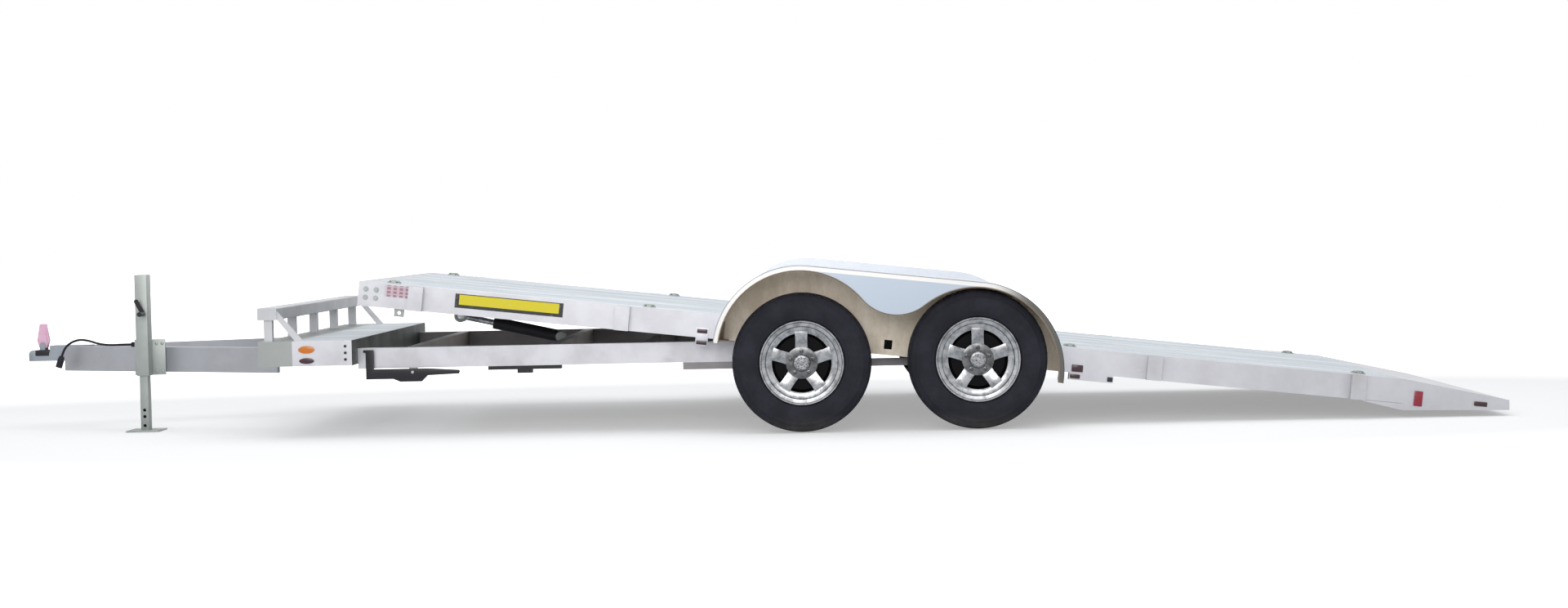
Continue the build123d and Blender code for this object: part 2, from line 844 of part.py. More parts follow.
# Deck of extruded planks: a grooved skin on legs that stand on the channels
plank_pitch = 2 * bed_inner / plank_count
leg_pitch = plank_pitch / 2
with BuildPart() as deck:
    with BuildSketch(on_bed(Plane.YZ.offset(bed_front_x + bed_rail_width))):
        with Locations((0, bed_top - plank_skin / 2)):
            Rectangle(2 * bed_inner, plank_skin)
        with Locations((0, bed_top - deck_thickness / 2)):
            with GridLocations(leg_pitch, 0, 2 * plank_count - 1, 1):
                Rectangle(plank_leg, deck_thickness)
            with GridLocations(2 * bed_inner - plank_leg, 0, 2, 1):
                Rectangle(plank_leg, deck_thickness)
        with Locations((0, bed_top)):
            with GridLocations(plank_pitch, 0, plank_count - 1, 1):
                Rectangle(groove_width, 2 * groove_depth, mode=Mode.SUBTRACT)
    extrude(amount=bed_rail_end_x - bed_front_x - bed_rail_width)
save(deck, "deck")

# Tail wedge: a sloping top plate, end bar and ribs, open underneath
wedge_top_front = bed_point(bed_rail_end_x, bed_top)
wedge_bottom_front = bed_point(bed_rail_end_x, bed_rail_bottom - wedge_drop)
wedge_slope = (wedge_top_front[1] - wedge_bottom - wedge_tip_height) / (tail_x - wedge_top_front[0])
wedge_bay = (2 * bed_half - wedge_wall) / wedge_bays
with BuildPart() as tail_wedge:
    with BuildSketch(Plane.XZ.offset(-bed_half)):
        with BuildLine():
            Polyline(
                wedge_top_front,
                wedge_bottom_front,
                (tail_x, wedge_bottom),
                (tail_x, wedge_bottom + wedge_tip_height),
                close=True,
            )
        make_face()
    extrude(amount=2 * bed_half)
    inner_front_x = wedge_top_front[0] + wedge_wall
    inner_rear_x = tail_x - wedge_end_bar
    inner_front_z = wedge_top_front[1] - wedge_skin - (inner_front_x - wedge_top_front[0]) * wedge_slope
    inner_rear_z = inner_front_z - (inner_rear_x - inner_front_x) * wedge_slope
    for bay in range(wedge_bays):
        with BuildSketch(upright_at(-bed_half + wedge_wall + bay * wedge_bay)):
            with BuildLine():
                Polyline(
                    (inner_front_x, inner_front_z),
                    (inner_front_x, 0),
                    (inner_rear_x, 0),
                    (inner_rear_x, inner_rear_z),
                    close=True,
                )
            make_face()
        extrude(amount=-(wedge_bay - wedge_wall), mode=Mode.SUBTRACT)
save(tail_wedge, "tail_wedge")

# Fenders: well plate, arched top sheet and outer skirt
fender_z = spindle_height + fender_rise
skirt_radius = fender_radius - skirt_height
fender_front_x = front_spindle_x - fender_radius
fender_rear_x = rear_spindle_x + fender_radius
dip_x = (front_spindle_x + rear_spindle_x) / 2
half_spread = axle_spread / 2
dip_rise = skirt_dip - fender_z
dip_radius = (half_spread**2 + dip_rise**2 - skirt_radius**2) / (2 * (skirt_radius - dip_rise))
dip_centre_z = skirt_dip + dip_radius
touch_share = skirt_radius / (skirt_radius + dip_radius)
touch_run = half_spread * touch_share
touch_z = fender_z + (dip_centre_z - fender_z) * touch_share
diagonal = cos(radians(45))
fender_foot_z = fender_z - fender_radius / 4


def arch_outline(radius):
    """The closed arch over both wheels, flat between the spindles."""
    front_x = front_spindle_x - radius
    rear_x = rear_spindle_x + radius
    with BuildLine() as outline:
        Line((front_x, fender_foot_z), (front_x, fender_z))
        ThreePointArc(
            (front_x, fender_z),
            (front_spindle_x - radius * diagonal, fender_z + radius * diagonal),
            (front_spindle_x, fender_z + radius),
        )
        Line((front_spindle_x, fender_z + radius), (rear_spindle_x, fender_z + radius))
        ThreePointArc(
            (rear_spindle_x, fender_z + radius),
            (rear_spindle_x + radius * diagonal, fender_z + radius * diagonal),
            (rear_x, fender_z),
        )
        Line((rear_x, fender_z), (rear_x, fender_foot_z))
        Line((rear_x, fender_foot_z), (front_x, fender_foot_z))
    return outline.line


def skirt_opening():
    """The twin wheel opening of the skirt, with the rounded dip between the wheels."""
    front_x = front_spindle_x - skirt_radius
    rear_x = rear_spindle_x + skirt_radius
    crown_z = fender_z + skirt_radius
    with BuildLine() as outline:
        Line((front_x, fender_foot_z), (front_x, fender_z))
        ThreePointArc(
            (front_x, fender_z),
            (front_spindle_x, crown_z),
            (front_spindle_x + touch_run, touch_z),
        )
        ThreePointArc(
            (front_spindle_x + touch_run, touch_z),
            (dip_x, skirt_dip),
            (rear_spindle_x - touch_run, touch_z),
        )
        ThreePointArc(
            (rear_spindle_x - touch_run, touch_z),
            (rear_spindle_x, crown_z),
            (rear_x, fender_z),
        )
        Line((rear_x, fender_z), (rear_x, fender_foot_z))
        Line((rear_x, fender_foot_z), (front_x, fender_foot_z))
    return outline.line


def below(front_z, rear_z):
    """Everything under a line between the fender's two ends."""
    with BuildLine() as outline:
        Polyline(
            (fender_front_x, front_z),
            (fender_rear_x, rear_z),
            (fender_rear_x, fender_foot_z),
            (fender_front_x, fender_foot_z),
            close=True,
        )
    return outline.line


for side, sign in SIDES.items():
    with BuildPart() as fender:
        with BuildSketch(on_bed(upright_at(sign * (bed_half + fender_outer) / 2))):
            make_face(arch_outline(fender_radius).edges())
            make_face(
                arch_outline(fender_radius - fender_sheet).edges(),
                mode=Mode.SUBTRACT,
            )
            make_face(below(hem_front_z, hem_rear_z).edges(), mode=Mode.SUBTRACT)
        extrude(amount=(fender_outer - bed_half) / 2, both=True)
        with BuildSketch(on_bed(upright_at(sign * (fender_outer - fender_sheet / 2)))):
            make_face(arch_outline(fender_radius).edges())
            make_face(skirt_opening().edges(), mode=Mode.SUBTRACT)
            make_face(below(hem_front_z, hem_rear_z).edges(), mode=Mode.SUBTRACT)
        extrude(amount=fender_sheet / 2, both=True)
        with BuildSketch(on_bed(upright_at(sign * (bed_half + well_sheet / 2)))):
            make_face(arch_outline(fender_radius).edges())
            make_face(below(bed_rail_bottom, bed_rail_bottom).edges(), mode=Mode.SUBTRACT)
        extrude(amount=well_sheet / 2, both=True)
    save(fender, f"fender_{side}")

# Stake pockets along each bed rail, open through from top to bottom
for side, sign in SIDES.items():
    with BuildPart() as stake_pockets:
        with BuildSketch(on_bed(Plane.XY.offset(bed_rail_bottom))):
            for offset_x in pocket_offsets:
                with Locations((pivot_x + offset_x, sign * (bed_half + pocket_reach / 2))):
                    Rectangle(pocket_length, pocket_reach)
                with Locations(
                    (pivot_x + offset_x, sign * (bed_half + (pocket_reach - pocket_wall) / 2))
                ):
                    Rectangle(
                        pocket_length - 2 * pocket_wall,
                        pocket_reach - pocket_wall,
                        mode=Mode.SUBTRACT,
                    )
        extrude(amount=bed_rail_height)
    save(stake_pockets, f"stake_pockets_{side}")

# Pivot lugs of the bed, in pairs each side of a chassis lug, welded between two channels
member_top = bed_top - deck_thickness
lug_span = 2 * pivot_member_offset - member_width
with BuildPart() as bed_pivot_lugs:
    for sign in SIDES.values():
        for place in (-1, 1):
            lug_y = sign * pivot_lug_y + place * (pivot_lug_thickness + side_clearance / 2)
            with BuildSketch(on_bed(upright_at(lug_y))):
                with Locations((pivot_x, (pivot_height + member_top) / 2)):
                    Rectangle(lug_span, member_top - pivot_height)
                with Locations((pivot_x, pivot_height)):
                    Circle(bed_lug_radius)
                    Circle(pivot_pin_diameter / 2 + pin_clearance, mode=Mode.SUBTRACT)
            extrude(amount=pivot_lug_thickness / 2, both=True)
save(bed_pivot_lugs, "bed_pivot_lugs")

# Tilt cylinder: where its pins lie at rest and the direction between them
cylinder_pin = (pivot_x + cylinder_pin_offset, cylinder_pin_height)
cylinder_head = bed_point(pivot_x + cylinder_bed_offset, cylinder_bed_height)
cylinder_run = cylinder_pin[0] - cylinder_head[0]
cylinder_rise = cylinder_head[1] - cylinder_pin[1]
cylinder_reach = hypot(cylinder_run, cylinder_rise)
cylinder_angle = degrees(atan2(cylinder_rise, cylinder_run))
cylinder_line = Plane(
    origin=(cylinder_pin[0], 0, cylinder_pin[1]),
    x_dir=(0, 1, 0),
    z_dir=(-cos(radians(cylinder_angle)), 0, sin(radians(cylinder_angle))),
)

# Clevis on the chassis cross-member behind the cylinder's lower pin
clevis_face_x = pivot_x + cross_offsets[1] - cross_width / 2
clevis_y = cylinder_eye_width / 2 + cylinder_lug_thickness / 2 + side_clearance / 2
with BuildPart() as cylinder_clevis:
    for sign in SIDES.values():
        with BuildSketch(upright_at(sign * clevis_y)):
            with Locations(cylinder_pin):
                Circle(cylinder_eye_radius)
            with Locations(((cylinder_pin[0] + clevis_face_x) / 2, cylinder_pin[1] - rail_wall * 3)):
                Rectangle(clevis_face_x - cylinder_pin[0], 2 * cylinder_eye_radius - rail_wall * 4)
        extrude(amount=cylinder_lug_thickness / 2, both=True)
    with BuildSketch(upright_at(0)):
        with Locations(cylinder_pin):
            Circle(cylinder_pin_diameter / 2)
    extrude(amount=clevis_y + cylinder_lug_thickness, both=True)
save(cylinder_clevis, "cylinder_clevis")

# Barrel with its rear eye and front gland
gland_start = cylinder_length - cylinder_cap
with BuildPart() as cylinder_barrel:
    with BuildSketch(cylinder_line.offset(cylinder_eye_radius)):
        Circle(cylinder_radius)
    extrude(amount=cylinder_length - cylinder_eye_radius)
    with BuildSketch(upright_at(0)):
        with Locations(cylinder_pin):
            Circle(cylinder_eye_radius)
    extrude(amount=cylinder_eye_width / 2, both=True)
    with BuildSketch(cylinder_line):
        Rectangle(cylinder_eye_width, 2 * cylinder_eye_radius)
    extrude(amount=cylinder_eye_radius)
    with BuildSketch(cylinder_line.offset(cylinder_eye_radius + cylinder_cap)):
        Circle(cylinder_bore / 2)
    extrude(amount=gland_start - cylinder_eye_radius - cylinder_cap, mode=Mode.SUBTRACT)
    with BuildSketch(cylinder_line.offset(gland_start)):
        Circle(cylinder_rod_diameter / 2 + pin_clearance)
    extrude(amount=cylinder_cap, mode=Mode.SUBTRACT)
    with BuildSketch(upright_at(0)):
        with Locations(cylinder_pin):
            Circle(cylinder_pin_diameter / 2 + pin_clearance)
    extrude(amount=cylinder_eye_width, both=True, mode=Mode.SUBTRACT)
save(cylinder_barrel, "cylinder_barrel")

# Rod with its head pin, which runs in the slots of the bed bracket
rod_start = gland_start - 2 * cylinder_cap
bracket_y = cylinder_eye_width / 2 + cylinder_lug_thickness / 2 + side_clearance / 2
with BuildPart() as cylinder_rod:
    with BuildSketch(cylinder_line.offset(rod_start)):
        Circle(cylinder_rod_diameter / 2)
    extrude(amount=cylinder_reach - rod_start)
    with BuildSketch(upright_at(0)):
        with Locations(cylinder_head):
            Circle(cylinder_eye_radius)
    extrude(amount=cylinder_eye_width / 2, both=True)
    with BuildSketch(upright_at(0)):
        with Locations(cylinder_head):
            Circle(cylinder_pin_diameter / 2)
    extrude(amount=bracket_y + cylinder_lug_thickness, both=True)
save(cylinder_rod, "cylinder_rod")

# Slotted bracket that hangs from the bed channel over the rod's head
with BuildPart() as cylinder_bracket:
    for sign in SIDES.values():
        with BuildSketch(on_bed(upright_at(sign * bracket_y))):
            with Locations((pivot_x + cylinder_bed_offset, (cylinder_bed_height + member_bottom) / 2)):
                Rectangle(bracket_width, member_bottom - cylinder_bed_height)
            with Locations((pivot_x + cylinder_bed_offset, cylinder_bed_height)):
                Circle(bracket_width / 2)
                SlotCenterToCenter(
                    2 * cylinder_slot,
                    cylinder_pin_diameter + 2 * slot_clearance,
                    mode=Mode.SUBTRACT,
                )
        extrude(amount=cylinder_lug_thickness / 2, both=True)
save(cylinder_bracket, "cylinder_bracket")

# Latch keeper that hangs from the near bed rail
with BuildPart() as latch_keeper:
    with BuildSketch(on_bed(upright_at(-(bed_inner + bed_rail_width / 2)))):
        with Locations((pivot_x + keeper_offset, bed_rail_bottom - keeper_drop / 2)):
            Rectangle(keeper_length, keeper_drop)
        with Locations((pivot_x + keeper_offset, bed_rail_bottom - keeper_drop / 2)):
            Circle(keeper_drop / 4, mode=Mode.SUBTRACT)
    extrude(amount=keeper_thickness / 2, both=True)
save(latch_keeper, "latch_keeper")

# Bed latch lever beside the near chassis rail, on its own pin
latch_lever_y = -(rail_outer + side_clearance + lever_thickness / 2)
lever_pin_x = pivot_x + lever_pin_offset
with BuildPart() as bed_latch:
    with BuildSketch(upright_at(latch_lever_y)):
        with BuildLine():
            Polyline(
                (lever_front_x, lever_bottom),
                (lever_front_x, lever_top),
                (lever_front_x - lever_tooth, lever_top),
                (lever_front_x - lever_tooth, lever_top + lever_tooth),
                (lever_front_x + lever_post, lever_top + lever_tooth),
                (lever_front_x + lever_post, lever_shelf),
                (lever_pin_x + lever_post, lever_shelf),
                (lever_rear_x, lever_shelf - lever_tooth),
                (lever_rear_x, lever_bottom + lever_tooth),
                (lever_pin_x + lever_post, lever_bottom),
                (lever_pin_x, lever_bottom - lever_foot),
                (lever_pin_x - 2 * lever_post, lever_bottom - lever_foot),
                (lever_pin_x - 3 * lever_post, lever_bottom),
                close=True,
            )
        make_face()
        with Locations((lever_pin_x, lever_pin_z)):
            Circle(lever_pin_diameter / 2 + pin_clearance, mode=Mode.SUBTRACT)
    extrude(amount=lever_thickness / 2, both=True)
save(bed_latch, "bed_latch")

# Pin plate for the latch lever under the near rail, and the small bracket behind it
lever_plate_y = -(rail_outer - lever_thickness / 2)
with BuildPart() as latch_plate:
    with BuildSketch(upright_at(lever_plate_y)):
        with Locations((lever_pin_x, (rail_bottom + lever_pin_z) / 2 - lever_pin_diameter / 2)):
            Rectangle(3 * lever_pin_diameter, rail_bottom - lever_pin_z + lever_pin_diameter)
    extrude(amount=lever_thickness / 2, both=True)
    with BuildSketch(upright_at(lever_plate_y)):
        with Locations((lever_pin_x, lever_pin_z)):
            Circle(lever_pin_diameter / 2)
    extrude(amount=2 * lever_thickness + side_clearance)
save(latch_plate, "latch_plate")

with BuildPart() as rail_bracket:
    with BuildSketch(upright_at(-rail_y)):
        with Locations((pivot_x + bracket_offset, rail_bottom - bracket_height / 2)):
            Rectangle(bracket_length, bracket_height)
        with Locations((pivot_x + bracket_offset, rail_bottom - bracket_height)):
            Rectangle(bracket_length / 5, 2 * bracket_height)
    extrude(amount=rail_width / 2, both=True)
save(rail_bracket, "rail_bracket")

# Support bars under the bed rails behind the wheels
with BuildPart() as rail_skids:
    for sign in SIDES.values():
        closed_tube(
            on_bed(Plane.YZ.offset(pivot_x + skid_offset)),
            (sign * (bed_inner + bed_rail_width / 2), bed_rail_bottom - skid_height / 2),
            bed_rail_width,
            skid_height,
            rail_wall,
            skid_length,
        )
save(rail_skids, "rail_skids")

# Side lamps on the bed rails, the platform ends and the wedge
with BuildPart() as bed_lamps:
    for sign in SIDES.values():
        for offset_x, lamp_z, length, height in bed_lamp_places:
            with BuildSketch(on_bed(upright_at(sign * (bed_half + lamp_depth / 2)))):
                with Locations((pivot_x + offset_x, lamp_z)):
                    RectangleRounded(length, height, height / 3)
            extrude(amount=lamp_depth / 2, both=True)
save(bed_lamps, "bed_lamps")

with BuildPart() as platform_lamps:
    for sign in SIDES.values():
        for lamp_z in platform_lamp_heights:
            with BuildSketch(upright_at(sign * (platform_half + lamp_depth / 2))):
                with Locations((platform_front_x + platform_lamp_inset, lamp_z)):
                    SlotOverall(platform_lamp_length, platform_lamp_height)
            extrude(amount=lamp_depth / 2, both=True)
save(platform_lamps, "platform_lamps")

# Tie-down rings along the deck, each a flat loop in a base plate
with BuildPart() as tie_rings:
    for sign in SIDES.values():
        for offset_x in ring_offsets:
            with BuildSketch(on_bed(Plane.XY.offset(bed_top))):
                with Locations((pivot_x + offset_x, sign * ring_y)):
                    Rectangle(ring_plate, ring_plate)
            extrude(amount=ring_plate_thickness)
            with BuildSketch(on_bed(upright_at(sign * ring_y))):
                with Locations((pivot_x + offset_x, bed_top + ring_radius)):
                    Circle(ring_radius)
                    Circle(ring_radius - ring_bar, mode=Mode.SUBTRACT)
            extrude(amount=ring_bar / 2, both=True)
save(tie_rings, "tie_rings")

# Trailer lead from a gland on the near beam, over a hump and down to its plug
def beam_line(x):
    """How far the near tongue beam's middle is from the centreline."""
    return -(tongue_nose_half + (x - tongue_nose_x) * tan(radians(tongue_angle)))


gland_x = jack_x - jack_plate_width / 2 - gland_size
gland_y = beam_line(gland_x)
lead_z = tongue_top + gland_size / 2
with BuildPart() as lead_gland:
    with BuildSketch(Plane.XY.offset(tongue_top)):
        with Locations((gland_x, gland_y)):
            RectangleRounded(gland_size, gland_size, gland_size / 5)
    extrude(amount=gland_size)
save(lead_gland, "lead_gland")

lead_start = (gland_x - gland_size / 2, gland_y, lead_z)
lead_points = [
    lead_start,
    (lead_start[0] - 52, gland_y, lead_z),
    (lead_start[0] - 124, gland_y + 38, lead_z - 4),
    (lead_start[0] - 196, gland_y + 78, lead_z + 2),
    (lead_start[0] - 256, gland_y + 100, lead_z + 20),
    (lead_start[0] - 308, gland_y + 108, lead_z + 26),
    (lead_start[0] - 352, gland_y + 98, lead_z + 10),
    (lead_start[0] - 384, gland_y + 92, lead_z - 22),
    (lead_start[0] - 396, gland_y + 92, lead_z - 60),
]
lead_radii = []
for before, corner, after in zip(lead_points, lead_points[1:], lead_points[2:]):
    run_in = Vector(*corner) - Vector(*before)
    run_out = Vector(*after) - Vector(*corner)
    turn = radians(run_in.get_angle(run_out))
    lead_radii.append(0.45 * min(run_in.length, run_out.length) / tan(turn / 2))
print("lead radii", [round(radius) for radius in lead_radii])
with BuildPart() as trailer_lead:
    with BuildLine() as lead_path:
        FilletPolyline(*lead_points, radius=lead_radii)
    lead_wire = lead_path.wires()[0]
    with BuildSketch(Plane(origin=lead_wire @ 0, z_dir=lead_wire % 0)) as lead_section:
        Circle(lead_diameter / 2)
    sweep(lead_section.sketch, path=lead_wire)
print("lead length", round(lead_wire.length), "volume", round(trailer_lead.part.volume))
print("section times length", round(pi * lead_diameter**2 / 4 * lead_wire.length))
save(trailer_lead, "trailer_lead")

plug_plane = Plane(origin=lead_wire @ 1, z_dir=lead_wire % 1)
with BuildPart() as lead_plug:
    with BuildSketch(plug_plane):
        Circle(lead_diameter)
    with BuildSketch(plug_plane.offset(plug_length / 3)):
        Circle(plug_diameter / 2)
    loft()
    with BuildSketch(plug_plane.offset(plug_length / 3)):
        Circle(plug_diameter / 2)
    extrude(amount=plug_length * 2 / 3)
save(lead_plug, "lead_plug")
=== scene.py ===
"""Finishes, fittings, stage and camera for the tilt trailer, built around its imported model."""

import logging
from dataclasses import dataclass
from enum import Enum
from math import atan2, cos, pi, radians, sin
from typing import Callable, Optional, Sequence, Union

import bmesh
import bpy
from mathutils import Matrix, Vector

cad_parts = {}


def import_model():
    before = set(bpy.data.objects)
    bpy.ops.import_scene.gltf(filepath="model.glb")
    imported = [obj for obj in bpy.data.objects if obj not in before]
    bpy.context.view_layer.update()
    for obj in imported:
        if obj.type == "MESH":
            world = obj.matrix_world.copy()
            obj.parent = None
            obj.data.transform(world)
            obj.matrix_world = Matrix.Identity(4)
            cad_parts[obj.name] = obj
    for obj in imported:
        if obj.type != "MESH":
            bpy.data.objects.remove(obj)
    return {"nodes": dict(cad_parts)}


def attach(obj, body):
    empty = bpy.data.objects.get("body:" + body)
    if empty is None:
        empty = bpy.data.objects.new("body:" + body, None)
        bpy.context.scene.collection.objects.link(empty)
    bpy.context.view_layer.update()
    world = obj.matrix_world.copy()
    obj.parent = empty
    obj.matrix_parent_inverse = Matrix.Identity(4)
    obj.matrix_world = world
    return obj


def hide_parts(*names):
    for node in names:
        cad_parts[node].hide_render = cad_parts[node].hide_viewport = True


LOG = logging.getLogger("trailer")
Span = tuple[float, float]
Triple = tuple[float, float, float]
Term = Union["Signal", float, int, Sequence[float]]

PIVOT = Vector((0.306, 0.0, 0.450))
BED_TIP = radians(6.5)
BED_REST = Matrix.Translation(PIVOT) @ Matrix.Rotation(BED_TIP, 4, "Y") @ Matrix.Translation(-PIVOT)
SPINDLES = (0.3595, 1.1925)
SPINDLE_HEIGHT = 0.3315


class Side(Enum):
    """The two sides of the trailer, left being the camera's."""

    LEFT = -1
    RIGHT = 1

    @property
    def word(self) -> str:
        """The side's name as the nodes spell it."""
        return self.name.lower()


class Grain(Enum):
    """Which way a metal's drawing lines run, as the scale along x, y and z."""

    ALONG = (0.03, 1.0, 1.0)
    ACROSS = (1.0, 0.03, 1.0)
    UPRIGHT = (1.0, 1.0, 0.03)
    EVEN = (1.0, 1.0, 1.0)


class Signal:
    """A shader socket that Python's arithmetic works on."""

    def __init__(self, graph: "Tree", socket: bpy.types.NodeSocket) -> None:
        """Keeps the socket with the tree that it belongs to."""
        self.graph = graph
        self.socket = socket

    def _math(self, operation: str, *terms: Term) -> "Signal":
        """One Math node.

        Args:
            operation: The node's operation.
            terms: Its inputs, in order.

        Returns:
            The node's result.
        """
        return self.graph.node("ShaderNodeMath", {"operation": operation}, dict(enumerate(terms)))

    def __add__(self, other: Term) -> "Signal":
        """This plus other."""
        return self._math("ADD", self, other)

    def __radd__(self, other: Term) -> "Signal":
        """Other plus this."""
        return self._math("ADD", other, self)

    def __sub__(self, other: Term) -> "Signal":
        """This minus other."""
        return self._math("SUBTRACT", self, other)

    def __rsub__(self, other: Term) -> "Signal":
        """Other minus this."""
        return self._math("SUBTRACT", other, self)

    def __mul__(self, other: Term) -> "Signal":
        """This times other."""
        return self._math("MULTIPLY", self, other)

    def __rmul__(self, other: Term) -> "Signal":
        """Other times this."""
        return self._math("MULTIPLY", other, self)

    def __truediv__(self, other: Term) -> "Signal":
        """This over other."""
        return self._math("DIVIDE", self, other)

    def __pow__(self, other: Term) -> "Signal":
        """This to a power."""
        return self._math("POWER", self, other)

    def __gt__(self, other: Term) -> "Signal":
        """One where this is greater than other, and zero elsewhere."""
        return self._math("GREATER_THAN", self, other)

    def __lt__(self, other: Term) -> "Signal":
        """One where this is less than other, and zero elsewhere."""
        return self._math("LESS_THAN", self, other)

    def __abs__(self) -> "Signal":
        """This without its sign."""
        return self._math("ABSOLUTE", self)

    def least(self, other: Term) -> "Signal":
        """The smaller of this and other."""
        return self._math("MINIMUM", self, other)

    def most(self, other: Term) -> "Signal":
        """The greater of this and other."""
        return self._math("MAXIMUM", self, other)

    def part(self) -> "Signal":
        """What this has past its whole number."""
        return self._math("FRACT", self)

    def eased(self, low: float, high: float) -> "Signal":
        """A smooth rise from zero at low to one at high.

        Args:
            low: Where the rise starts.
            high: Where it ends.

        Returns:
            The eased value.
        """
        return self.graph.node(
            "ShaderNodeMapRange",
            {"interpolation_type": "SMOOTHSTEP"},
            {"Value": self, "From Min": low, "From Max": high, "To Min": 0.0, "To Max": 1.0},
        )


class Tree:
    """The node tree of a material or a world, which ends in one output."""

    def __init__(self, holder: Union[bpy.types.Material, bpy.types.World], output: str) -> None:
        """Empties the tree and sets its output.

        Args:
            holder: The material or the world.
            output: The output node's type.
        """
        holder.use_nodes = True
        self.tree = holder.node_tree
        self.tree.nodes.clear()
        self.output = self.tree.nodes.new(output)

    def put(self, socket: bpy.types.NodeSocket, value: Term) -> None:
        """Links a signal to a socket, or writes a plain value into it."""
        if isinstance(value, Signal):
            self.tree.links.new(value.socket, socket)
        else:
            socket.default_value = value

    def node(
        self,
        kind: str,
        settings: Optional[dict[str, object]] = None,
        inputs: Optional[dict[Union[str, int], Term]] = None,
        output: Union[str, int] = 0,
    ) -> Signal:
        """Adds a node of any type.

        Args:
            kind: The node's type.
            settings: Its own properties, or "stops" for a ramp.
            inputs: Values or signals by socket name or number.
            output: Which of its outputs is wanted.

        Returns:
            That output.
        """
        made = self.tree.nodes.new(kind)
        for key, value in (settings or {}).items():
            if key == "stops":
                self._stops(made.color_ramp, value)
            else:
                setattr(made, key, value)
        for key, value in (inputs or {}).items():
            self.put(made.inputs[key], value)
        return Signal(self, made.outputs[output])

    @staticmethod
    def _stops(ramp: bpy.types.ColorRamp, stops: Sequence[tuple[float, Triple]]) -> None:
        """Writes a ramp's stops."""
        while len(ramp.elements) < len(stops):
            ramp.elements.new(0.5)
        for element, (place, colour) in zip(ramp.elements, stops):
            element.position = place
            element.color = (*colour, 1.0)


class Graph(Tree):
    """The tree of one material, with a shader ready for its values."""

    def __init__(self, name: str) -> None:
        """Makes a material of that name with its shader."""
        self.material = bpy.data.materials.new(name)
        super().__init__(self.material, "ShaderNodeOutputMaterial")
        self.shader = self.tree.nodes.new("ShaderNodeBsdfPrincipled")
        self.tree.links.new(self.shader.outputs[0], self.output.inputs["Surface"])

    def place(self) -> Signal:
        """The point on the piece, in metres."""
        return self.node("ShaderNodeTexCoord", output="Object")

    def moved(self, place: Signal, shift: Triple = (0, 0, 0), turn: Triple = (0, 0, 0),
              scale: Triple = (1, 1, 1)) -> Signal:
        """The point after a shift, a turn and a scale."""
        return self.node(
            "ShaderNodeMapping",
            {"vector_type": "POINT"},
            {"Vector": place, "Location": shift, "Rotation": turn, "Scale": scale},
        )

    def axes(self, place: Signal) -> tuple[Signal, Signal, Signal]:
        """The three coordinates of a point."""
        split = self.node("ShaderNodeSeparateXYZ", inputs={0: place})
        outputs = split.socket.node.outputs
        return tuple(Signal(self, outputs[number]) for number in range(3))

    def level_axes(self, place: Signal, centre: Sequence[float]) -> tuple[Signal, Signal, Signal]:
        """The way from a centre to a point, along the tipped bed's own axes."""
        centred = self.moved(place, shift=tuple(-value for value in centre))
        return self.axes(self.moved(centred, turn=(0.0, -BED_TIP, 0.0)))

    def noise(
        self, place: Signal, scale: float, detail: float = 3.0, rough: float = 0.55
    ) -> Signal:
        """Soft noise from 0 to 1.

        Args:
            place: Where it is read.
            scale: Blotches per metre.
            detail: How many finer layers it has.
            rough: How strong the finer layers are.

        Returns:
            The noise.
        """
        return self.node(
            "ShaderNodeTexNoise",
            inputs={"Vector": place, "Scale": scale, "Detail": detail, "Roughness": rough},
        )

    def mix(self, factor: Term, first: Term, second: Term) -> Signal:
        """A colour between two colours."""
        colours = [
            value if isinstance(value, Signal) else (*value, 1.0) for value in (first, second)
        ]
        return self.node(
            "ShaderNodeMix",
            {"data_type": "RGBA"},
            {0: factor, 6: colours[0], 7: colours[1]},
            output=2,
        )

    def bump(self, height: Signal, depth: float, strength: float = 1.0) -> None:
        """Raises the surface by a height, over what it was raised by before.

        Args:
            height: The height's pattern, from 0 to 1.
            depth: How many metres one unit of it is.
            strength: The share of the effect that shows.
        """
        inputs: dict[Union[str, int], Term] = {
            "Height": height, "Distance": depth, "Strength": strength,
        }
        before = self.shader.inputs["Normal"]
        if before.is_linked:
            inputs["Normal"] = Signal(self, before.links[0].from_socket)
        self.put(before, self.node("ShaderNodeBump", inputs=inputs))

    def shade(self, **values: Term) -> None:
        """Writes the shader's sockets, each named with _ for a space."""
        for key, value in values.items():
            name = key.replace("_", " ").title().replace("Ior", "IOR")
            if name in ("Base Color", "Emission Color") and not isinstance(value, Signal):
                value = (*value, 1.0)
            self.put(self.shader.inputs[name], value)


@dataclass(frozen=True)
class Finish:
    """A named surface finish that can be made a material."""

    name: str

    def dress(self, graph: Graph) -> None:
        """Fills in the material's nodes."""
        raise NotImplementedError

    def material(self) -> bpy.types.Material:
        """The finish as a material, made once."""
        title = f"{self.name}_finish"
        found = bpy.data.materials.get(title)
        if found is None:
            graph = Graph(title)
            self.dress(graph)
            found = graph.material
        return found


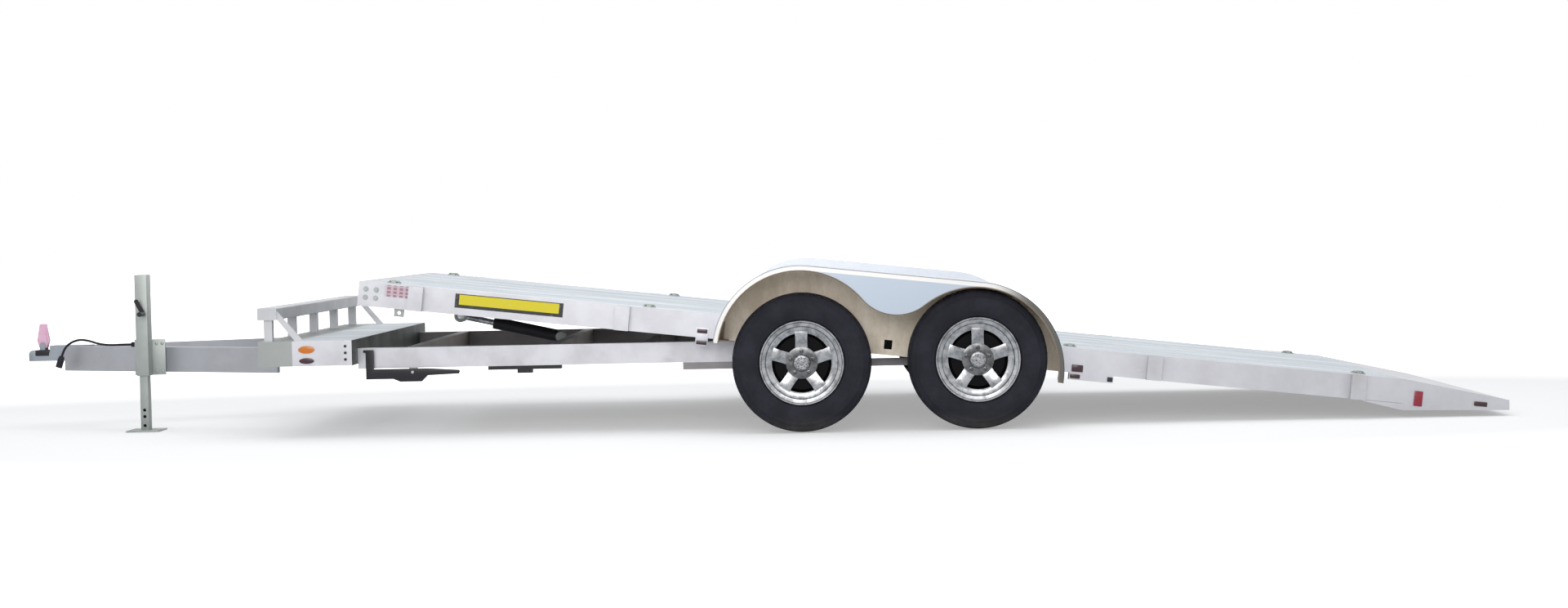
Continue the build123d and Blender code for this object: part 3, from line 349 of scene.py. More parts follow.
@dataclass(frozen=True)
class BareMetal(Finish):
    """Mill-finish or plated metal with drawing lines, cloudy patches, scuffs and road dust."""

    colour: Triple = (0.66, 0.66, 0.70)
    dull: Triple = (0.52, 0.52, 0.55)
    grain: Grain = Grain.ALONG
    roughness: float = 0.36
    metallic: float = 0.85
    dust: float = 0.25
    line_depth: float = 0.00006
    # dark_within, dark_past, dark_under and dark set where painted shade is laid, and its colour
    dark_within: float = 0.0
    dark_past: float = 100.0
    dark_under: float = -1.0
    dark: Triple = (0.12, 0.11, 0.11)

    def dress(self, graph: Graph) -> None:
        """Lays lines, patches and dust over the metal, and painted shade between the rails, below a
        set height and past a set run.
        """
        place = graph.place()
        lines = graph.noise(graph.moved(place, scale=self.grain.value), 900.0, 3.0, 0.7)
        patches = graph.noise(place, 4.5, 5.0, 0.62)
        scuffs = graph.noise(graph.moved(place, scale=(0.25, 1.0, 1.0)), 70.0, 4.0, 0.75)
        marks = scuffs.eased(0.62, 0.72) * patches.eased(0.45, 0.62)
        run, breadth, height = graph.axes(place)
        # painted shade: darker between the rails, low down and past a set run, where shade falls
        painted_shade = (abs(breadth) < self.dark_within).most(run > self.dark_past)
        painted_shade = painted_shade.most((height < self.dark_under) * 0.75)
        painted_shade = painted_shade * (patches * 0.4 + 0.75).least(1.0)
        low = 1.0 - height.eased(0.10, 0.46)
        soil = (patches.eased(0.40, 0.75) * 0.6 + low * 0.6) * self.dust
        colour = graph.mix(patches.eased(0.30, 0.72) * 0.55, self.colour, self.dull)
        colour = graph.mix(soil.least(0.8), colour, (0.33, 0.32, 0.30))
        colour = graph.mix(marks * 0.35, colour, (0.82, 0.82, 0.84))
        colour = graph.mix(painted_shade, colour, self.dark)
        graph.shade(
            base_color=colour,
            metallic=(self.metallic - soil * 0.7 - painted_shade * 0.5).most(0.0),
            roughness=self.roughness + lines * 0.10 + patches * 0.10 + soil * 0.25 - marks * 0.10,
        )
        graph.bump(lines, self.line_depth)
        graph.bump(patches, 0.0006, 0.5)


@dataclass(frozen=True)
class Planking(Finish):
    """Extruded deck plank: fine ribs along its length, rubbed bright on their tops."""

    colour: Triple = (0.60, 0.64, 0.69)
    turned: bool = False
    rib_pitch: float = 0.0125

    def dress(self, graph: Graph) -> None:
        """Cuts ribs and lays tyre scuffs over them, and long pale and dull streaks of painted
        reflection.
        """
        place = graph.place()
        along, across, _ = graph.axes(place)
        course = (along if self.turned else across) / self.rib_pitch
        ribs = abs(course.part() - 0.5) * 2.0
        crowns = ribs.eased(0.35, 0.75)
        patches = graph.noise(graph.moved(place, scale=(0.4, 1.0, 1.0)), 6.0, 5.0, 0.65)
        tracks = graph.noise(graph.moved(place, scale=(0.10, 1.0, 1.0)), 34.0, 4.0, 0.7)
        rubbed = tracks.eased(0.50, 0.68) * 0.45
        colour = graph.mix(crowns * 0.6 + 0.2, (0.40, 0.43, 0.47), self.colour)
        colour = graph.mix(patches.eased(0.35, 0.75) * 0.4, colour, (0.47, 0.48, 0.49))
        colour = graph.mix(rubbed, colour, (0.30, 0.30, 0.31))
        # painted reflection: long near-white blue streaks of sky sheen, with dull blue-green
        # between them
        sheen_bands = graph.noise(graph.moved(place, scale=(0.035, 1.0, 1.0)), 7.0, 3.0, 0.6)
        colour = graph.mix(sheen_bands.eased(0.45, 0.66) * 0.45, colour, (0.88, 0.96, 1.00))
        colour = graph.mix((1.0 - sheen_bands.eased(0.32, 0.52)) * 0.4, colour, (0.44, 0.53, 0.54))
        graph.shade(
            base_color=colour, metallic=0.75, roughness=0.40 + patches * 0.2 - crowns * 0.08
        )
        graph.bump(crowns, 0.0012)
        graph.bump(patches, 0.0005, 0.4)


@dataclass(frozen=True)
class FenderSheet(Finish):
    """Bright sheet outside with a rolled edge, and dust and splash stains inside the arch, set pale
    as partly painted light.
    """

    colour: Triple = (0.70, 0.73, 0.78)
    arch_height: float = 0.386
    arch_radius: float = 0.4105
    opening_radius: float = 0.391
    edge_width: float = 0.015
    well_y: float = 1.0305
    skirt_y: float = 1.2862

    def dress(self, graph: Graph) -> None:
        """Stains the inside of the arch, set pale as partly painted light, and paints a highlight
        on its rolled edge, a bluish sheen on the skirt and shade on the rear of the edge.
        """
        place = graph.place()
        run, breadth, rise = graph.level_axes(place, PIVOT)
        front, rear = (value - PIVOT.x for value in SPINDLES)
        beyond = (front - run).most(run - rear).most(0.0)
        above = (rise - (self.arch_height - PIVOT.z)).most(0.0)
        reach = (beyond**2.0 + above**2.0) ** 0.5
        inside = (reach < self.arch_radius) * (abs(breadth) > self.well_y)
        skirt = abs(breadth) > self.skirt_y
        inside = inside * (1.0 - skirt)
        edge = skirt * (reach > self.opening_radius - 0.001)
        rolled = edge * (reach < self.opening_radius + self.edge_width)
        seam = edge * reach.eased(self.arch_radius - 0.003, self.arch_radius + 0.001)
        web = skirt * (1.0 - edge)
        stains = graph.noise(graph.moved(place, scale=(1.0, 1.0, 0.5)), 7.0, 6.0, 0.7)
        spray = graph.noise(place, 60.0, 3.0, 0.6)
        lines = graph.noise(graph.moved(place, scale=Grain.ALONG.value), 700.0, 3.0, 0.7)
        # dust and splash stains, set very pale to lift the shaded inside of the arch: partly real
        # stains, partly painted light
        stains_and_light = graph.mix(stains.eased(0.32, 0.68), (0.92, 0.84, 0.73), (0.70, 0.62, 0.50))
        stains_and_light = graph.mix(spray.eased(0.55, 0.75) * 0.35, stains_and_light, (0.50, 0.41, 0.31))
        bright = graph.mix(stains.eased(0.35, 0.75) * 0.35, self.colour, (0.58, 0.61, 0.66))
        # painted reflection: the skirt's face a darker blue-grey, as sky sheen on the upright sheet
        bright = graph.mix(web * 0.75, bright, (0.38, 0.45, 0.54))
        # painted highlight: the rolled edge pale, as light on its rounded lip
        bright = graph.mix(rolled * 0.85, bright, (0.79, 0.77, 0.73))
        bright = graph.mix(seam * 0.8, bright, (0.16, 0.15, 0.14))
        # painted shade: the edge past the rear wheel darkened, as the side turned away from the
        # light
        rear_edge_shade = edge * (run - rear).eased(0.02, 0.24)
        bright = graph.mix(rear_edge_shade * 0.9, bright, (0.065, 0.062, 0.050))
        graph.shade(
            base_color=graph.mix(inside, bright, stains_and_light),
            metallic=0.85 - inside * 0.45 - rear_edge_shade * 0.4,
            roughness=0.24 + lines * 0.08 + stains * 0.10 + inside * 0.26,
        )
        graph.bump(lines, 0.00005)
        graph.bump(stains, 0.0008, 0.5)


@dataclass(frozen=True)
class Painted(Finish):
    """Paint over metal with faint orange peel, dust and worn spots."""

    colour: Triple = (0.02, 0.02, 0.025)
    worn: Triple = (0.10, 0.10, 0.11)
    roughness: float = 0.38
    coat: float = 0.3
    gloss: float = 0.5

    def dress(self, graph: Graph) -> None:
        """Lays the paint, its wear and its dust."""
        place = graph.place()
        peel = graph.noise(place, 420.0, 2.0)
        patches = graph.noise(place, 14.0, 5.0, 0.65)
        chips = graph.noise(place, 120.0, 4.0, 0.75).eased(0.66, 0.72)
        colour = graph.mix(patches.eased(0.45, 0.80) * 0.5, self.colour, self.worn)
        colour = graph.mix(chips * 0.5, colour, (0.30, 0.28, 0.26))
        graph.shade(
            base_color=colour,
            roughness=self.roughness + patches * 0.22,
            coat_weight=self.coat,
            coat_roughness=0.2,
            specular_ior_level=self.gloss,
        )
        graph.bump(peel, 0.00012, 0.6)


@dataclass(frozen=True)
class HubShadeAndCap(Finish):
    """Near-black drum, as painted shade seen through the wheel's windows, with a bright grained cap
    in the middle of each wheel.
    """

    cap_radius: float = 0.0425

    def dress(self, graph: Graph) -> None:
        """Tells the cap from the drum by its distance from the spindle."""
        place = graph.place()
        run, _, rise = graph.axes(place)
        nearest = abs(run - SPINDLES[0]).least(abs(run - SPINDLES[1]))
        reach = (nearest**2.0 + (rise - SPINDLE_HEIGHT) ** 2.0) ** 0.5
        cap = reach < self.cap_radius
        grain = graph.noise(place, 130.0, 4.0, 0.7)
        rings = abs((reach / 0.009).part() - 0.5) * 2.0
        bright = graph.mix(grain.eased(0.40, 0.66), (0.40, 0.41, 0.42), (0.09, 0.09, 0.10))
        # painted shade: the drum near-black with hardly any gloss, around the real cap
        graph.shade(
            base_color=graph.mix(cap, (0.007, 0.007, 0.008), bright),
            metallic=cap * 0.9,
            roughness=0.70 - cap * 0.42,
            specular_ior_level=0.08,
        )
        graph.bump(grain * 0.6 + rings * 0.4, 0.0009)


@dataclass(frozen=True)
class Rubber(Finish):
    """Black rubber with a blue-grey bloom and dust in its low places."""

    colour: Triple = (0.011, 0.012, 0.018)
    bloom: Triple = (0.025, 0.026, 0.037)
    roughness: float = 0.62

    def dress(self, graph: Graph) -> None:
        """Lays the bloom and a fine pebbled skin."""
        place = graph.place()
        patches = graph.noise(place, 9.0, 5.0, 0.6)
        skin = graph.noise(place, 650.0, 2.0)
        low = 1.0 - graph.axes(place)[2].eased(0.0, 0.10)
        colour = graph.mix(patches.eased(0.35, 0.75), self.colour, self.bloom)
        colour = graph.mix(low * patches * 0.5, colour, (0.16, 0.15, 0.13))
        graph.shade(
            base_color=colour,
            roughness=self.roughness + patches * 0.15,
            specular_ior_level=0.25,
        )
        graph.bump(skin, 0.0002, 0.5)


@dataclass(frozen=True)
class Polished(Finish):
    """Bright plated or polished metal with water marks and brake dust."""

    colour: Triple = (0.44, 0.45, 0.47)
    shade_colour: Triple = (0.13, 0.135, 0.14)
    roughness: float = 0.14

    def dress(self, graph: Graph) -> None:
        """Lays marks and dust over the bright surface."""
        place = graph.place()
        marks = graph.noise(place, 26.0, 5.0, 0.7)
        dust = graph.noise(place, 8.0, 4.0, 0.6)
        colour = graph.mix(marks.eased(0.38, 0.70) * 0.8, self.colour, self.shade_colour)
        graph.shade(
            base_color=colour,
            metallic=1.0,
            roughness=self.roughness + marks * 0.12 + dust * 0.08,
        )
        graph.bump(marks, 0.0005, 0.4)


@dataclass(frozen=True)
class Lens(Finish):
    """A moulded lamp lens with ribs inside it."""

    colour: Triple = (0.85, 0.25, 0.01)
    deep: Triple = (0.40, 0.08, 0.005)
    rib_pitch: float = 0.004

    def dress(self, graph: Graph) -> None:
        """Lays ribs and a glow through the plastic."""
        place = graph.place()
        along, _, up = graph.axes(place)
        ribs = abs((along / self.rib_pitch).part() - 0.5) * 2.0
        rows = abs((up / self.rib_pitch).part() - 0.5) * 2.0
        cells = ribs * rows
        cloud = graph.noise(place, 60.0, 3.0)
        colour = graph.mix(cells * 0.6 + cloud * 0.3, self.colour, self.deep)
        graph.shade(
            base_color=colour, roughness=0.14 + cloud * 0.10, coat_weight=0.3, coat_roughness=0.05
        )
        graph.bump(cells, 0.0003, 0.5)


@dataclass(frozen=True)
class Vinyl(Finish):
    """A stuck-on plate or label, a plain colour inside a darker border."""

    colour: Triple = (0.80, 0.66, 0.01)
    border: Triple = (0.02, 0.02, 0.02)
    centre: Triple = (0.0, 0.0, 0.0)
    half_length: float = 0.25
    half_height: float = 0.028
    lift: float = 0.0
    cell: float = 0.0

    def dress(self, graph: Graph) -> None:
        """Sets the border round the plain field and lays wear over both."""
        place = graph.place()
        run, _, rise = graph.level_axes(place, self.centre)
        outside = (abs(run) > self.half_length).most(abs(rise - self.lift) > self.half_height)
        wear = graph.noise(place, 45.0, 5.0, 0.7)
        colour = graph.mix(outside, self.colour, self.border)
        if self.cell:
            columns = (run / self.cell).part() > 0.42
            rows = (rise / (self.cell * 0.6)).part() > 0.35
            colour = graph.mix(columns * rows * 0.7, colour, (0.26, 0.12, 0.17))
        colour = graph.mix(wear.eased(0.55, 0.75) * 0.25, colour, (0.62, 0.60, 0.50))
        graph.shade(base_color=colour, roughness=0.30 + wear * 0.2, coat_weight=0.3)
        graph.bump(wear, 0.0003, 0.3)


class Finishes:
    """Every finish of this trailer, by the part of it that wears it."""

    RAIL = BareMetal("rail_aluminium", dust=0.10)
    CROSSWISE = BareMetal("crosswise_aluminium", grain=Grain.ACROSS, colour=(0.60, 0.61, 0.63))
    # darker brownish aluminium under the bed: road dust, and painted shade under the trailer
    UNDERSIDE = BareMetal(
        "underside_aluminium", colour=(0.38, 0.34, 0.32), dull=(0.25, 0.21, 0.19), dust=0.5
    )
    # painted shade: the rails' inner faces and their lower part darker, where shade falls between
    # and under them
    CHASSIS = BareMetal("chassis_aluminium", dark_within=0.84, dark_under=0.3245,
                        dark=(0.20, 0.18, 0.18))
    # painted shade: the platform frame darker behind its rear edge, in the shade under the bed's
    # front
    PLATFORM = BareMetal("platform_aluminium", dark_past=-1.8152, dark=(0.035, 0.045, 0.040))
    BEAM = BareMetal("beam_aluminium", colour=(0.40, 0.42, 0.41), dull=(0.33, 0.35, 0.34),
                     grain=Grain.ACROSS, metallic=0.6)
    TONGUE = BareMetal("tongue_aluminium", colour=(0.50, 0.51, 0.55), dull=(0.42, 0.42, 0.46))
    POCKET = BareMetal("pocket_aluminium", grain=Grain.UPRIGHT)
    DECK = Planking("deck_planking", colour=(0.72, 0.79, 0.86))
    PLATFORM_DECK = Planking("platform_planking", turned=True, colour=(0.66, 0.72, 0.78))
    FENDER = FenderSheet("fender_sheet")
    ZINC = BareMetal(
        "zinc_steel", colour=(0.46, 0.49, 0.47), dull=(0.33, 0.37, 0.35), grain=Grain.UPRIGHT,
        roughness=0.42, dust=0.12,
    )
    COUPLER = BareMetal("coupler_zinc", colour=(0.40, 0.44, 0.49), dull=(0.30, 0.33, 0.37),
                        grain=Grain.EVEN, roughness=0.40, dust=0.15)
    BLACK = Painted("black_paint", worn=(0.05, 0.05, 0.06), coat=0.15, gloss=0.3)
    LATCH = Painted("latch_red_paint", colour=(0.90, 0.52, 0.70), worn=(0.92, 0.80, 0.86))
    TYRE = Rubber("tyre_rubber")
    LEAD = Rubber("lead_rubber", colour=(0.012, 0.012, 0.015), roughness=0.48)
    RIM = Polished("rim_bright")
    FLANGE = Polished("flange_grey", colour=(0.20, 0.205, 0.21), shade_colour=(0.05, 0.05, 0.055))
    NUT = Polished("nut_dark", colour=(0.15, 0.15, 0.16), shade_colour=(0.04, 0.04, 0.04))
    HUB = HubShadeAndCap("hub_iron")
    ROD = Polished("rod_chrome", colour=(0.72, 0.73, 0.75), roughness=0.08)
    # near-black with hardly any gloss: painted shade, for the wheel's barrel and the disc behind
    # its spokes, the jack's pin holes and the hole in each well plate
    DRUM = Painted("drum_iron", colour=(0.006, 0.006, 0.007), worn=(0.014, 0.012, 0.011),
                   roughness=0.7, coat=0.0, gloss=0.08)
    EDGE = Painted("fender_edge", colour=(0.27, 0.21, 0.16), worn=(0.42, 0.36, 0.29), coat=0.0)
    AMBER = Lens("amber_lens")
    REFLECTOR = Lens("dark_reflector", colour=(0.06, 0.015, 0.025), deep=(0.02, 0.006, 0.010))
    RED = Lens("red_lens", colour=(0.40, 0.012, 0.045), deep=(0.16, 0.005, 0.02))


class Bench:
    """Makes pieces from bmesh operators and attaches each to the body that it rides on."""

    @staticmethod
    def finish_piece(
        name: str,
        mesh: bmesh.types.BMesh,
        finish: Finish,
        body: str,
        slot: str,
        place: Matrix = Matrix.Identity(4),
        bevel: float = 0.0,
        smooth: bool = True,
    ) -> bpy.types.Object:
        """Turns a bmesh into a placed, dressed and riding piece.

        Args:
            name: The piece's name.
            mesh: Its bmesh, which is used up.
            finish: What it is dressed in.
            body: The body that it rides on.
            slot: The record's material slot that it stands for; it is not used.
            place: Where its own frame lies in the row frame.
            bevel: The radius of its rounded edges, or 0.
            smooth: Whether its flat-ish faces are shaded as one surface.

        Returns:
            The object.
        """
        bmesh.ops.remove_doubles(mesh, verts=mesh.verts, dist=0.00001)
        bmesh.ops.recalc_face_normals(mesh, faces=mesh.faces)
        if bevel:
            sharp = [e for e in mesh.edges if len(e.link_faces) == 2 and e.calc_face_angle() > 0.6]
            bmesh.ops.bevel(
                mesh, geom=sharp, offset=bevel, segments=2, profile=0.5, affect="EDGES",
                material=-1, clamp_overlap=True,
            )
        bmesh.ops.transform(mesh, matrix=place, verts=mesh.verts)
        data = bpy.data.meshes.new(name)
        mesh.to_mesh(data)
        mesh.free()
        if smooth:
            data.shade_smooth()
            data.set_sharp_from_angle(angle=radians(32))
        return Bench.riding(name, data, finish, body, slot)

    @staticmethod
    def riding(
        name: str, data: bpy.types.Mesh, finish: Finish, body: str, slot: str
    ) -> bpy.types.Object:
        """Puts a mesh into the scene, dressed, as a piece that rides on a body."""
        piece = bpy.data.objects.new(name, data)
        bpy.context.scene.collection.objects.link(piece)
        data.materials.clear()
        data.materials.append(finish.material())
        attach(piece, body)
        LOG.info("%s: %d faces on %s", name, len(data.polygons), body)
        return piece

    @staticmethod
    def block(mesh: bmesh.types.BMesh, low: Triple, high: Triple) -> None:
        """Adds a box between its lowest and its highest corner."""
        size = Vector(high) - Vector(low)
        middle = (Vector(high) + Vector(low)) / 2
        place = Matrix.Translation(middle) @ Matrix.Diagonal((*size, 1.0))
        bmesh.ops.create_cube(mesh, size=1.0, matrix=place)

    @staticmethod
    def slab(mesh: bmesh.types.BMesh, side: Side, run: Span, depth: Span, height: Span) -> None:
        """Adds a box on one side of the trailer.

        Args:
            mesh: What it is added to.
            side: Which side it is on.
            run: Where it starts and ends along the trailer.
            depth: How far from the middle plane it starts and ends.
            height: Its bottom and its top.
        """
        near, far = sorted(side.value * value for value in depth)
        Bench.block(mesh, (run[0], near, height[0]), (run[1], far, height[1]))

    @staticmethod
    def rod(
        mesh: bmesh.types.BMesh, start: Triple, end: Triple, radius: float, sides: int = 16,
        end_radius: Optional[float] = None,
    ) -> None:
        """Adds a straight round or many-sided bar between two points."""
        run = Vector(end) - Vector(start)
        turn = run.to_track_quat("Z", "Y").to_matrix().to_4x4()
        place = Matrix.Translation((Vector(start) + Vector(end)) / 2) @ turn
        bmesh.ops.create_cone(
            mesh, cap_ends=True, segments=sides, radius1=radius,
            radius2=radius if end_radius is None else end_radius, depth=run.length, matrix=place,
        )

    @staticmethod
    def spun(
        mesh: bmesh.types.BMesh, profile: Sequence[Span], steps: int
    ) -> list[bmesh.types.BMFace]:
        """Spins a closed section about the Y axis.

        Args:
            mesh: What it is added to.
            profile: Its points as a distance along Y and a radius.
            steps: How many steps the turn has.

        Returns:
            The new faces.
        """
        points = [mesh.verts.new((0.0, out, radius)) for out, radius in profile]
        pairs = [*zip(points, points[1:]), (points[-1], points[0])]
        edges = [mesh.edges.new(pair) for pair in pairs]
        before = set(mesh.faces)
        bmesh.ops.spin(
            mesh, geom=points + edges, cent=(0, 0, 0), axis=(0, 1, 0), angle=2 * pi, steps=steps,
            use_merge=True,
        )
        return [face for face in mesh.faces if face not in before]

    @staticmethod
    def joined(mesh: bmesh.types.BMesh, rings: Sequence[Sequence[Triple]]) -> None:
        """Skins a row of rings that have as many points each, and closes both ends."""
        made = [[mesh.verts.new(point) for point in ring] for ring in rings]
        count = len(made[0])
        for first, second in zip(made, made[1:]):
            for number in range(count):
                following = (number + 1) % count
                mesh.faces.new((first[number], first[following], second[following], second[number]))
        mesh.faces.new(made[0])
        mesh.faces.new(reversed(made[-1]))

    @staticmethod
    def turned_copies(mesh: bmesh.types.BMesh, count: int) -> None:
        """Repeats everything in the mesh about the Y axis."""
        geometry = mesh.verts[:] + mesh.edges[:] + mesh.faces[:]
        for number in range(1, count):
            copied = bmesh.ops.duplicate(mesh, geom=geometry)["geom"]
            bmesh.ops.rotate(
                mesh,
                verts=[item for item in copied if isinstance(item, bmesh.types.BMVert)],
                cent=(0, 0, 0),
                matrix=Matrix.Rotation(2 * pi * number / count, 3, "Y"),
            )

    @staticmethod
    def line(
        name: str, points: Sequence[Triple], radius: float, rounding: int, steps: int
    ) -> bpy.types.Object:
        """Lays a round line along a smooth way past a few points.

        Args:
            name: The curve's name.
            points: The points, of which the first and the last are its ends.
            radius: The line's radius.
            rounding: How finely its section is rounded.
            steps: How many steps each stretch of it has.

        Returns:
            The curve as an object.
        """
        curve = bpy.data.curves.new(name, "CURVE")
        curve.dimensions = "3D"
        curve.bevel_depth = radius
        curve.bevel_resolution = rounding
        curve.resolution_u = steps
        curve.use_fill_caps = True
        spline = curve.splines.new("NURBS")
        spline.points.add(len(points) - 1)
        for point, place in zip(spline.points, points):
            point.co = (*place, 1.0)
        spline.order_u = 3
        spline.use_endpoint_u = True
        made = bpy.data.objects.new(name, curve)
        bpy.context.scene.collection.objects.link(made)
        return made

    @staticmethod
    def bead(
        name: str, points: Sequence[Triple], radius: float, finish: Finish, body: str, slot: str
    ) -> bpy.types.Object:
        """Makes a fixed bead, as a mesh, along a smooth way past a few points."""
        holder = Bench.line(f"{name}_line", points, radius, 3, 8)
        graph = bpy.context.evaluated_depsgraph_get()
        data = bpy.data.meshes.new_from_object(holder.evaluated_get(graph))
        data.name = name
        bpy.data.objects.remove(holder)
        data.shade_smooth()
        return Bench.riding(name, data, finish, body, slot)


@dataclass
class Studio:
    """The pale floor, the soft lights and the camera."""

    camera_place: Triple = (0.53, -12.43, 0.985)
    lens: float = 54.5
    yaw: float = 1.27
    pitch: float = 1.91
    roll: float = 1.20
    floor_half: float = 60.0

    def camera(self) -> None:
        """Sets the camera where the photograph was taken from."""
        yaw, pitch, roll = (radians(value) for value in (self.yaw, self.pitch, self.roll))
        forward = Vector((-sin(yaw) * cos(pitch), cos(yaw) * cos(pitch), -sin(pitch)))
        level = forward.cross(Vector((0, 0, 1))).normalized()
        upright = level.cross(forward)
        right = level * cos(roll) - upright * sin(roll)
        above = level * sin(roll) + upright * cos(roll)
        data = bpy.data.cameras.new("camera")
        data.lens = self.lens
        data.sensor_width = 36.0
        data.clip_end = 400.0
        camera = bpy.data.objects.new("camera", data)
        turn = Matrix((right, above, -forward)).transposed().to_4x4()
        camera.matrix_world = Matrix.Translation(self.camera_place) @ turn
        bpy.context.scene.collection.objects.link(camera)
        bpy.context.scene.camera = camera

    def lamp(self, name: str, place: Triple, size: Span, power: float,
             colour: Triple) -> None:
        """Adds a soft box that faces the trailer."""
        data = bpy.data.lights.new(name, "AREA")
        data.shape = "RECTANGLE"
        data.size, data.size_y = size
        data.energy = power
        data.color = colour
        lamp = bpy.data.objects.new(name, data)
        aim = Vector((0.0, 0.0, 0.3)) - Vector(place)
        turn = aim.to_track_quat("-Z", "Y").to_matrix().to_4x4()
        lamp.matrix_world = Matrix.Translation(place) @ turn
        lamp.visible_camera = False
        bpy.context.scene.collection.objects.link(lamp)

    def world(self) -> None:
        """A dim even sky that looks white to the camera and in gloss."""
        world = bpy.data.worlds.new("sky")
        bpy.context.scene.world = world
        tree = Tree(world, "ShaderNodeOutputWorld")
        camera, gloss, passing = (
            tree.node("ShaderNodeLightPath", output=f"Is {kind} Ray")
            for kind in ("Camera", "Glossy", "Transmission")
        )
        sky, white = (
            tree.node("ShaderNodeBackground", inputs={"Color": (*colour, 1.0), "Strength": power})
            for colour, power in (((0.94, 0.97, 1.0), 0.50), ((1.0, 1.0, 1.0), 1.0))
        )
        share = camera.most(gloss).most(passing)
        mixed = tree.node("ShaderNodeMixShader", inputs={0: share, 1: sky, 2: white})
        tree.put(tree.output.inputs["Surface"], mixed)

    def floor(self) -> None:
        """A pale matt floor, white to the camera except for the shadow that it keeps."""
        mesh = bmesh.new()
        bmesh.ops.create_grid(mesh, x_segments=1, y_segments=1, size=self.floor_half)
        data = bpy.data.meshes.new("floor")
        mesh.to_mesh(data)
        mesh.free()
        floor = bpy.data.objects.new("floor", data)
        bpy.context.scene.collection.objects.link(floor)
        graph = Graph("floor_white")
        place = graph.place()
        distance = graph.node(
            "ShaderNodeVectorMath", {"operation": "LENGTH"},
            {0: graph.moved(place, scale=(0.42, 1.0, 1.0))}, output="Value",
        )
        speck = graph.noise(place, 2.0, 2.0)
        graph.shade(
            base_color=graph.mix(speck * 0.2, (0.95, 0.95, 0.95), (0.92, 0.92, 0.92)),
            roughness=0.9,
            specular_ior_level=0.1,
        )
        rays = graph.node("ShaderNodeLightPath", output="Is Camera Ray")
        glow = graph.node("ShaderNodeEmission", inputs={"Color": (1, 1, 1, 1), "Strength": 1.75})
        fade = graph.node(
            "ShaderNodeMixShader",
            inputs={
                0: distance.eased(1.2, 5.0).most(0.20) * rays,
                1: Signal(graph, graph.shader.outputs[0]),
                2: glow,
            },
        )
        graph.put(graph.output.inputs["Surface"], fade)
        data.materials.append(graph.material)

    def build(self) -> None:
        """Makes the whole stage."""
        self.camera()
        self.world()
        self.floor()
        self.lamp("top_box", (0.0, -0.5, 5.5), (10.0, 5.0), 165.0, (0.95, 0.98, 1.0))
        self.lamp("front_box", (-0.6, -9.5, 3.2), (6.0, 3.0), 200.0, (1.0, 0.98, 0.97))


@dataclass
class Lead:
    """The trailer's lead over the tongue, from its gland to its plug."""

    diameter: float = 0.012
    length: float = 0.465
    start: Triple = (-3.1245, -0.2229, 0.437)
    steps: tuple[Triple, ...] = (
        (0.0, 0.0, 0.0),
        (-0.052, 0.0, 0.0),
        (-0.124, 0.038, -0.004),
        (-0.196, 0.078, 0.002),
        (-0.256, 0.100, 0.020),
        (-0.308, 0.108, 0.026),
        (-0.352, 0.098, 0.010),
        (-0.384, 0.092, -0.022),
        (-0.396, 0.092, -0.060),
    )

    def build(self) -> None:
        """Lays the lead along its route in rubber, in place of the model's own lead."""
        points = [tuple(Vector(self.start) + Vector(step)) for step in self.steps]
        lead = Bench.line("tongue_lead", points, self.diameter / 2, 4, 12)
        lead.data.materials.append(Finishes.LEAD.material())
        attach(lead, "chassis")
        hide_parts("trailer_lead")


@dataclass(frozen=True)
class Corner:
    """One wheel's corner of the trailer, with where the wheel's own frame lies."""

    end: str
    side: Side
    place: Matrix

    @property
    def word(self) -> str:
        """The corner's name as the nodes spell it."""
        return f"{self.end}_{self.side.word}"

    def fit(
        self, name: str, mesh: bmesh.types.BMesh, finish: Finish, slot: str, bevel: float = 0.0
    ) -> bpy.types.Object:
        """Turns a bmesh into a piece of this corner's wheel."""
        return Bench.finish_piece(
            f"{name}_{self.word}", mesh, finish, f"wheel_{self.word}", slot, self.place, bevel
        )

    def spin(
        self, name: str, finish: Finish, slot: str, *sections: tuple[int, Sequence[Span]]
    ) -> bpy.types.Object:
        """Spins sections, each with its number of steps, into a piece of this wheel."""
        mesh = bmesh.new()
        for steps, section in sections:
            Bench.spun(mesh, section, steps)
        return self.fit(name, mesh, finish, slot)


